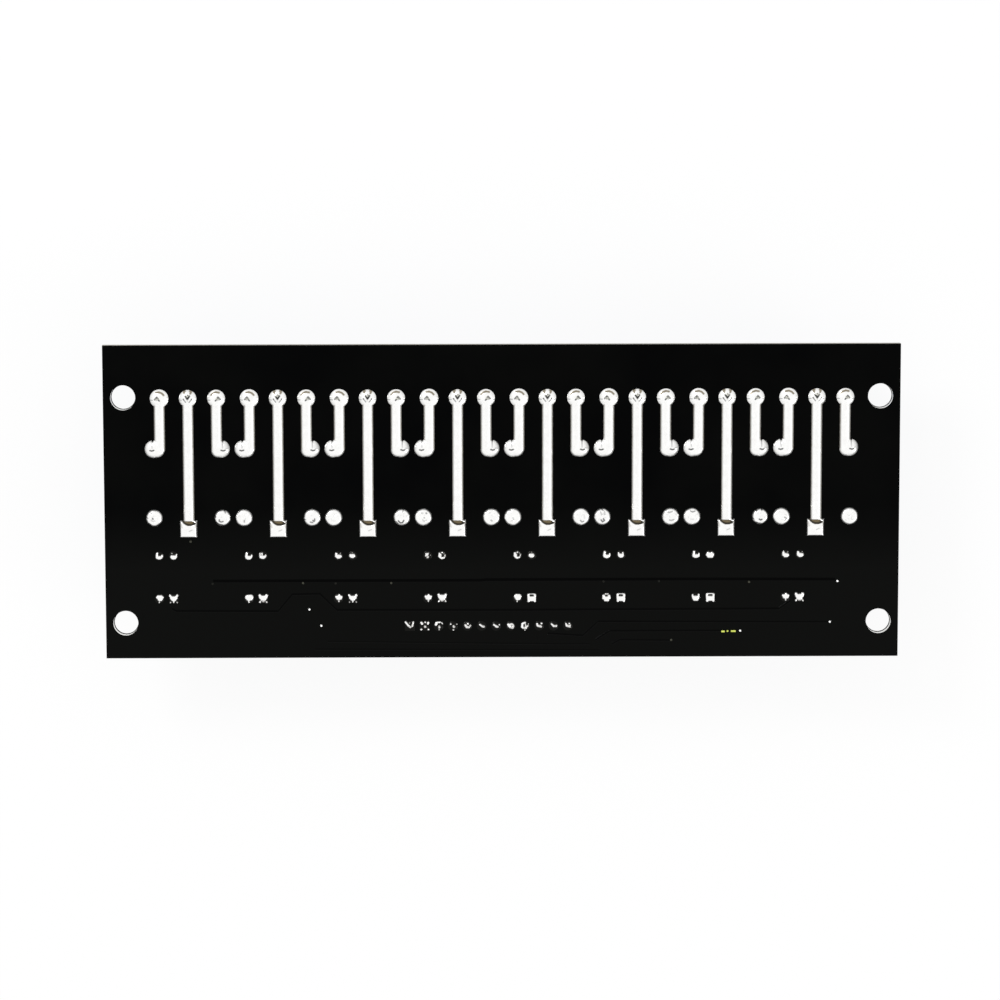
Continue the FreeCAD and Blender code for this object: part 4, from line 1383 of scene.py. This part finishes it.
dull_tin = finish_of("lacquered_tin", (0.074, 0.074, 0.056), (0.026, 0.026, 0.020),
                     (0.10, 0.10, 0.08), roughness=0.6, specular=0.1, blotch_scale=900.0)
faint_tin = finish_of("thickly_lacquered_tin", (0.016, 0.016, 0.013), (0.007, 0.007, 0.006),
                      (0.024, 0.024, 0.02), roughness=0.6, specular=0.1, blotch_scale=900.0)
for name, places, metal, slot_name in (("vias_open", BRIGHT_VIAS, solder, "solder"),
                                       ("vias_covered", DULL_VIAS, dull_tin, "tinned_copper"),
                                       ("vias_faint", FAINT_VIAS, faint_tin, "tinned_copper")):
    mesh_piece(name, [turned(place, VIA_RINGS) for place in places], metal,
               smooth=True)
bare = finish_of("bare_laminate", (0.86, 0.96, 0.16), (0.62, 0.72, 0.09), (0.9, 0.97, 0.22),
                 roughness=0.7, blotch_scale=1500.0, blotch_amount=0.9)
worn = [strip([(x - length / 2, y), (x + length / 2, y)], SCRATCH_WIDTH, BOARD_TOP,
              SCRATCH_RISE) for x, y, length in SCRATCHES]
mesh_piece("scratches", worn, bare)

# %% [markdown]
# ## Painted shadow rings in the four holes
#
# At the far end of each hole a thin dark ring stands in for the shadow along the hole's
# lower edge. The ring is dark and the tin lining above it is bright, so each hole shows a
# bright crescent with a fine dark line along it. The ring is a hollow turned shape, a tenth
# of a millimetre wide.

# %% Build the painted shadow rings of the holes
HOLE_PLACES = list(itertools.product((-66.5, 66.5), (18.55, -21.45)))
HOLE_RADIUS = 2.2
# Painted shadow: a dark ring at the far end of each hole, where the shadow falls.
SHADOW_RING = [(0.02, 0.01), (0.02, 0.16), (-0.08, 0.12), (-0.11, 0.01)]
hole_shadow_finish = finish_of("painted_hole_shadow", (0.010, 0.009, 0.006), (0.005, 0.005, 0.004),
                     (0.03, 0.028, 0.02), roughness=0.8, specular=0.1, blotch_scale=900.0)
shadow_ring_radii = [(HOLE_RADIUS + out, height) for out, height in SHADOW_RING]
mesh_piece("hole_shadow_rings", [turned(place, shadow_ring_radii, BOARD_UNDER, sides=48, hollow=True)
                         for place in HOLE_PLACES], hole_shadow_finish)

# %% [markdown]
# ## Softer edges for moulded and stamped parts
#
# Nothing moulded or stamped has a knife edge. For the parts on the component side a copy
# of the model's own mesh is welded, and a bevel rounds every edge that turns sharply. The
# copy has the place and size of the model's solid, and only its edges change.

# %% Softened copies of model nodes
WELD_DISTANCE = 0.000001
FLAT_EDGE = 0.5                    # degrees; flatter edges are dissolved
SHARP_EDGE = 40                    # degrees; sharper edges are rounded


def softened(node_name, material, width=0.12, segments=2, change=None):
    """Replaces a node by a copy of its mesh with rounded edges. width in millimetres."""
    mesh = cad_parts[node_name].data.copy()
    mesh.materials.clear()
    work = bmesh.new()
    work.from_mesh(mesh)
    bmesh.ops.remove_doubles(work, verts=work.verts, dist=WELD_DISTANCE)
    bmesh.ops.dissolve_limit(work, angle_limit=math.radians(FLAT_EDGE), verts=work.verts,
                             edges=work.edges)
    if change:
        change(work)
    for face in work.faces:
        face.smooth = True
        face.material_index = 0
    work.to_mesh(mesh)
    work.free()
    piece = add_piece(node_name + "_rounded", mesh, material, node_name)
    bevel = piece.modifiers.new("soft edges", "BEVEL")
    bevel.width = width * MM
    bevel.segments = segments
    bevel.limit_method = "ANGLE"
    bevel.angle_limit = math.radians(SHARP_EDGE)
    bevel.use_clamp_overlap = True
    bevel.harden_normals = True


print("bevels round edges sharper than %d degrees" % SHARP_EDGE)

# %% [markdown]
# ## Relays and terminal blocks
#
# Both are moulded in blue plastic. A relay's cover has a small round vent with a nib in the
# corner of its flat top, which is snipped off after washing the board. The top face is cut
# out and filled again round the rings of the vent, so the mesh stays one closed skin.

# %% Relay cases, their vents and the terminal blocks
VENT_INSET = 2.6
VENT_RINGS = [(1.0, 0.0), (0.9, 0.35), (0.45, 0.35), (0.40, 0.10)]
VENT_SIDES = 20


def vent(work):
    """Sinks a round vent with a small nib into the flat top of a relay cover."""
    lowest = min(vertex.co.z for vertex in work.verts)
    top = [face for face in work.faces
           if all(vertex.co.z < lowest + 0.00001 for vertex in face.verts)]
    corner = Vector((min(vertex.co.x for vertex in top[0].verts),
                     min(vertex.co.y for vertex in top[0].verts), lowest))
    centre = corner + Vector((VENT_INSET, VENT_INSET, 0)) * MM
    border = list({edge for face in top for edge in face.edges if len(edge.link_faces) == 2
                   and any(other not in top for other in edge.link_faces)})
    bmesh.ops.delete(work, geom=top, context="FACES_ONLY")
    rings = []
    for radius, depth in VENT_RINGS:
        ring = []
        for step in range(VENT_SIDES):
            angle = 2 * math.pi * step / VENT_SIDES
            offset = Vector((radius * math.cos(angle), radius * math.sin(angle), depth))
            ring.append(work.verts.new(centre + offset * MM))
        rings.append(ring)
    for outer, inner in zip(rings, rings[1:]):
        for step in range(VENT_SIDES):
            after = (step + 1) % VENT_SIDES
            work.faces.new((outer[step], outer[after], inner[after], inner[step]))
    work.faces.new(rings[-1])
    rim = [work.edges.get((rings[0][step], rings[0][step - 1])) for step in range(VENT_SIDES)]
    bmesh.ops.triangle_fill(work, use_beauty=True, use_dissolve=False, edges=border + rim)
    bmesh.ops.recalc_face_normals(work, faces=work.faces)


relay_blue = finish_of("relay_blue", (0.010, 0.090, 0.39), (0.008, 0.068, 0.32),
                       (0.10, 0.24, 0.57), roughness=0.28, spread=0.10, blotch_scale=45.0,
                       subsurface=0.04)
terminal_blue = finish_of("terminal_blue", (0.010, 0.11, 0.42), (0.008, 0.08, 0.33),
                          (0.09, 0.28, 0.62), roughness=0.35, spread=0.12, blotch_scale=60.0,
                          subsurface=0.04)
base_blue = finish_of("relay_base_resin", (0.010, 0.012, 0.02), (0.02, 0.02, 0.03),
                      (0.06, 0.06, 0.08), roughness=0.55, blotch_scale=90.0)
for number in NUMBERS:
    softened("relay_case_%d" % number, relay_blue, width=0.25,
             segments=3, change=vent)
    softened("terminal_block_%d" % number, terminal_blue, width=0.15)
softened("relay_bases", base_blue, width=0.10)

# %% [markdown]
# ## Screws, clamps, pins and leads
#
# Three metals: zinc-plated steel for the screws, nickel for the clamps in the wire ports,
# and a thin layer of gold on the header's pins. Leads and legs are tinned copper, as the
# terminal pins are. Small parts get a narrow bevel, because a wide one would eat them up.

# %% Screws, clamps, pins and leads
screw_steel = finish_of("screw_steel", (0.62, 0.61, 0.58), (0.45, 0.44, 0.42),
                        (0.85, 0.84, 0.82), roughness=0.30, metallic=1.0, blotch_scale=500.0,
                        wear=0.8)
clamp_nickel = finish_of("clamp_nickel", (0.58, 0.56, 0.52), (0.42, 0.40, 0.36),
                         (0.8, 0.78, 0.74), roughness=0.38, metallic=1.0, blotch_scale=600.0)
gold = finish_of("header_gold", (0.80, 0.56, 0.20), (0.66, 0.44, 0.14), (0.95, 0.74, 0.36),
                 roughness=0.25, metallic=1.0, blotch_scale=500.0)
softened("terminal_screws", screw_steel)
softened("terminal_cages", clamp_nickel, width=0.06)
softened("header_pins", gold, width=0.10)
for node_name, width in (("relay_pins", 0.05), ("optocoupler_leads", 0.05),
                         ("transistor_legs", 0.03), ("diode_tabs", 0.03)):
    softened(node_name, tinned, width)

# %% [markdown]
# ## Black and yellow plastic
#
# Moulded parts with a chip inside are of a hard dull resin, rougher than the nylon of the
# header's strip. The jumper cap is a glossy yellow, so it gets a wide soft edge.

# %% Black and yellow plastic
moulded_black = finish_of("moulded_black", (0.010, 0.010, 0.011), (0.018, 0.018, 0.019),
                          (0.06, 0.06, 0.06), roughness=0.55, spread=0.2, blotch_scale=200.0,
                          bump=0.4)
header_black = finish_of("header_black", (0.012, 0.012, 0.013), (0.022, 0.022, 0.023),
                         (0.07, 0.07, 0.07), roughness=0.5, blotch_scale=120.0, bump=0.3)
cap_yellow = finish_of("cap_yellow", (0.80, 0.52, 0.02), (0.70, 0.42, 0.015),
                       (0.92, 0.70, 0.15), roughness=0.32, blotch_scale=120.0,
                       subsurface=0.08)
for number in NUMBERS:
    softened("optocoupler_%d" % number, moulded_black, width=0.10)
for node_name in ("transistors", "diodes"):
    softened(node_name, moulded_black, width=0.06)
for node_name in ("header_strip", "jumper_strip"):
    softened(node_name, header_black)
softened("jumper_cap", cap_yellow, width=0.25, segments=3)

# %% [markdown]
# ## Resistors and lamps
#
# The chip resistors are slips of white ceramic with a black film on top and a tinned cap on
# each end. The lamps have the same caps on a white base, with a clear lens moulded over.
# The model carries one block for each, so each box is divided here: caps, body, and film
# or lens. All of them are blocks with their edges cut off. A bevel would do the same, but
# for so many small parts it is lighter to write the corners down directly.

# %% A block with cut edges
def block_corner(axis, end, pair):
    """A corner of a block: its end along one axis, and a pair for the two others."""
    corner = list(pair)
    corner.insert(axis, end)
    return tuple(corner)


def chamfered(low, high, cut):
    """A block with every edge cut, as points and faces."""
    points, index = [], {}
    for corner in itertools.product((0, 1), repeat=3):
        for axis in range(3):
            spot = [(low, high)[end][way] for way, end in enumerate(corner)]
            for way in range(3):
                if way != axis:
                    spot[way] += cut if corner[way] == 0 else -cut
            index[corner, axis] = len(points)
            points.append(tuple(spot))
    faces = [tuple(index[corner, axis] for axis in range(3))
             for corner in itertools.product((0, 1), repeat=3)]
    for axis in range(3):
        others = [way for way in range(3) if way != axis]
        for end in (0, 1):
            faces.append(tuple(index[block_corner(axis, end, pair), axis]
                               for pair in ((0, 0), (1, 0), (1, 1), (0, 1))))
        for pair in itertools.product((0, 1), repeat=2):
            first, second = (block_corner(axis, end, pair) for end in (0, 1))
            faces.append((index[first, others[0]], index[first, others[1]],
                          index[second, others[1]], index[second, others[0]]))
    return points, faces


sample = chamfered((0, 0, 0), (1, 1, 1), 0.1)
print("a cut block has %d corners and %d faces" % tuple(map(len, sample)))

# %% [markdown]
# The share of the caps and the height of the lens come from common parts of this size. The
# lens and the film reach a little over the caps and into the body, so no gap shows
# between them.

# %% Build the chip parts
CAP_SHARE = 0.21
CHIP_CUT = 0.05
SLAB_CUT = 0.03
BODY_INSET = 0.04
SLAB_LAP = 0.02                    # how far the slab reaches over the caps, as a share
SLAB_SINK = 0.08                   # how deep it reaches into the body
FILM_DROP = 0.01                   # a film stays this far inside the box


def chip_shapes(box, lift):
    """Two caps, a body and a slab over it, for a chip part under the board."""
    low, high = box
    along = long_axis(low, high)
    length = high[along] - low[along]
    caps = []
    for start, end in ((0, CAP_SHARE), (1 - CAP_SHARE, 1)):
        cap_low, cap_high = low.copy(), high.copy()
        cap_low[along] = low[along] + start * length
        cap_high[along] = low[along] + end * length
        cap_low[2] += lift
        caps.append(chamfered(cap_low, cap_high, CHIP_CUT))
    body_low, body_high = low + BODY_INSET, high - BODY_INSET
    body_low[2] = low[2] + lift + BODY_INSET
    body_high[2] = high[2]
    slab_low, slab_high = body_low.copy(), body_high.copy()
    slab_low[along] = low[along] + (CAP_SHARE - SLAB_LAP) * length
    slab_high[along] = low[along] + (1 + SLAB_LAP - CAP_SHARE) * length
    slab_low[2] = low[2] + (0 if lift else FILM_DROP)
    slab_high[2] = low[2] + lift + SLAB_SINK
    return (caps, chamfered(body_low, body_high, CHIP_CUT),
            chamfered(slab_low, slab_high, SLAB_CUT))


ceramic = finish_of("white_ceramic", (0.68, 0.67, 0.63), (0.58, 0.57, 0.53), (0.85, 0.84, 0.8),
                    roughness=0.5, blotch_scale=900.0)
film = finish_of("resistor_film", (0.012, 0.012, 0.013), (0.02, 0.02, 0.022),
                 (0.05, 0.05, 0.05), roughness=0.3, blotch_scale=1200.0)
lens = finish_of("lamp_lens", (0.55, 0.75, 0.30), (0.45, 0.66, 0.22), (0.8, 0.9, 0.6),
                 roughness=0.12, spread=0.05, blotch_scale=800.0, subsurface=0.5)
LENS_SHARE = 0.45
for node_name, slab_finish, slot_name in (("resistors", film, "resistor_ceramic"),
                                          ("indicator_leds", lens, "led_resin")):
    caps, bodies, slabs = [], [], []
    for box in islands(node_name):
        lift = 0 if node_name == "resistors" else LENS_SHARE * (box[1][2] - box[0][2])
        ends, body, slab = chip_shapes(box, lift)
        caps += ends
        bodies.append(body)
        slabs.append(slab)
    for ending, shapes, finish in (("_caps", caps, tinned), ("_bodies", bodies, ceramic),
                                   ("_tops", slabs, slab_finish)):
        mesh_piece(node_name + ending, shapes, finish, node_name)

# %% [markdown]
# ## Marks on the component side
#
# A dimple tells which corner of an optocoupler is its first lead, and a band which end of a
# diode is the cathode. A dimple is a turned shape, and a band is a thin block over the part.

# %% Dimples and bands
dimple_grey = finish_of("dimple_grey", (0.03, 0.03, 0.032), (0.05, 0.05, 0.052),
                        (0.09, 0.09, 0.09), roughness=0.35, blotch_scale=1500.0)
ink_white = finish_of("ink_white", (0.62, 0.62, 0.60), (0.42, 0.42, 0.41), (0.8, 0.8, 0.8),
                      roughness=0.6, blotch_scale=2500.0, blotch_amount=0.8)
DIMPLE = [(0.42, 0.02), (0.40, -0.02), (0.30, -0.03)]
DIMPLE_INSETS = (0.9, 1.1)
opto_boxes = [node_box("optocoupler_%d" % number) for number in NUMBERS]
mesh_piece("optocoupler_dimples",
           [turned((low[0] + DIMPLE_INSETS[0], low[1] + DIMPLE_INSETS[1]), DIMPLE, low[2])
            for low, _ in opto_boxes], dimple_grey)

BAND_SHARES = (0.28, 0.12)         # where a band starts and ends, counted from the cathode
BAND_INSET = 0.12
BAND_RISE = 0.015
BAND_SINK = 0.10
BAND_CUT = 0.01
bands = []
for low, high in islands("diodes"):
    along = long_axis(low, high)
    band_low, band_high = low.copy(), high.copy()
    band_low[along] = high[along] - BAND_SHARES[0] * (high[along] - low[along])
    band_high[along] = high[along] - BAND_SHARES[1] * (high[along] - low[along])
    band_low[1 - along] += BAND_INSET
    band_high[1 - along] -= BAND_INSET
    band_low[2] = low[2] - BAND_RISE
    band_high[2] = low[2] + BAND_SINK
    bands.append(chamfered(band_low, band_high, BAND_CUT))
mesh_piece("diode_bands", bands, ink_white)

# %% [markdown]
# White ink frames on the lacquer show where each part goes. The ink is plain lines only,
# and the board carries no words.

# %% Ink frames
INK_WIDTH = 0.2
INK_RISE = -0.02                   # downwards, because the component side is the lower one
LEAD_ROOM = 0.9                    # an optocoupler's leads stand out this far
OPTO_MARGIN = 0.35
PART_MARGIN = 0.85
HEADER_MARGIN = 0.3


def ink_frame(low, high, margin):
    """Four strips of ink round a part."""
    x0, y0, x1, y1 = low[0] - margin, low[1] - margin, high[0] + margin, high[1] + margin
    half = INK_WIDTH / 2
    lines = [[(x0 - half, y0), (x1 + half, y0)], [(x0 - half, y1), (x1 + half, y1)],
             [(x0, y0 + half), (x0, y1 - half)], [(x1, y0 + half), (x1, y1 - half)]]
    return [strip(line, INK_WIDTH, BOARD_UNDER, INK_RISE) for line in lines]


frames = []
for low, high in opto_boxes:
    room = np.array([0, LEAD_ROOM, 0])
    frames += ink_frame(low - room, high + room, OPTO_MARGIN)
for node_name in ("diodes", "transistors", "indicator_leds"):
    for low, high in islands(node_name):
        frames += ink_frame(low, high, PART_MARGIN)
frames += ink_frame(*node_box("header_strip"), HEADER_MARGIN)
mesh_piece("ink_frames", frames, ink_white)
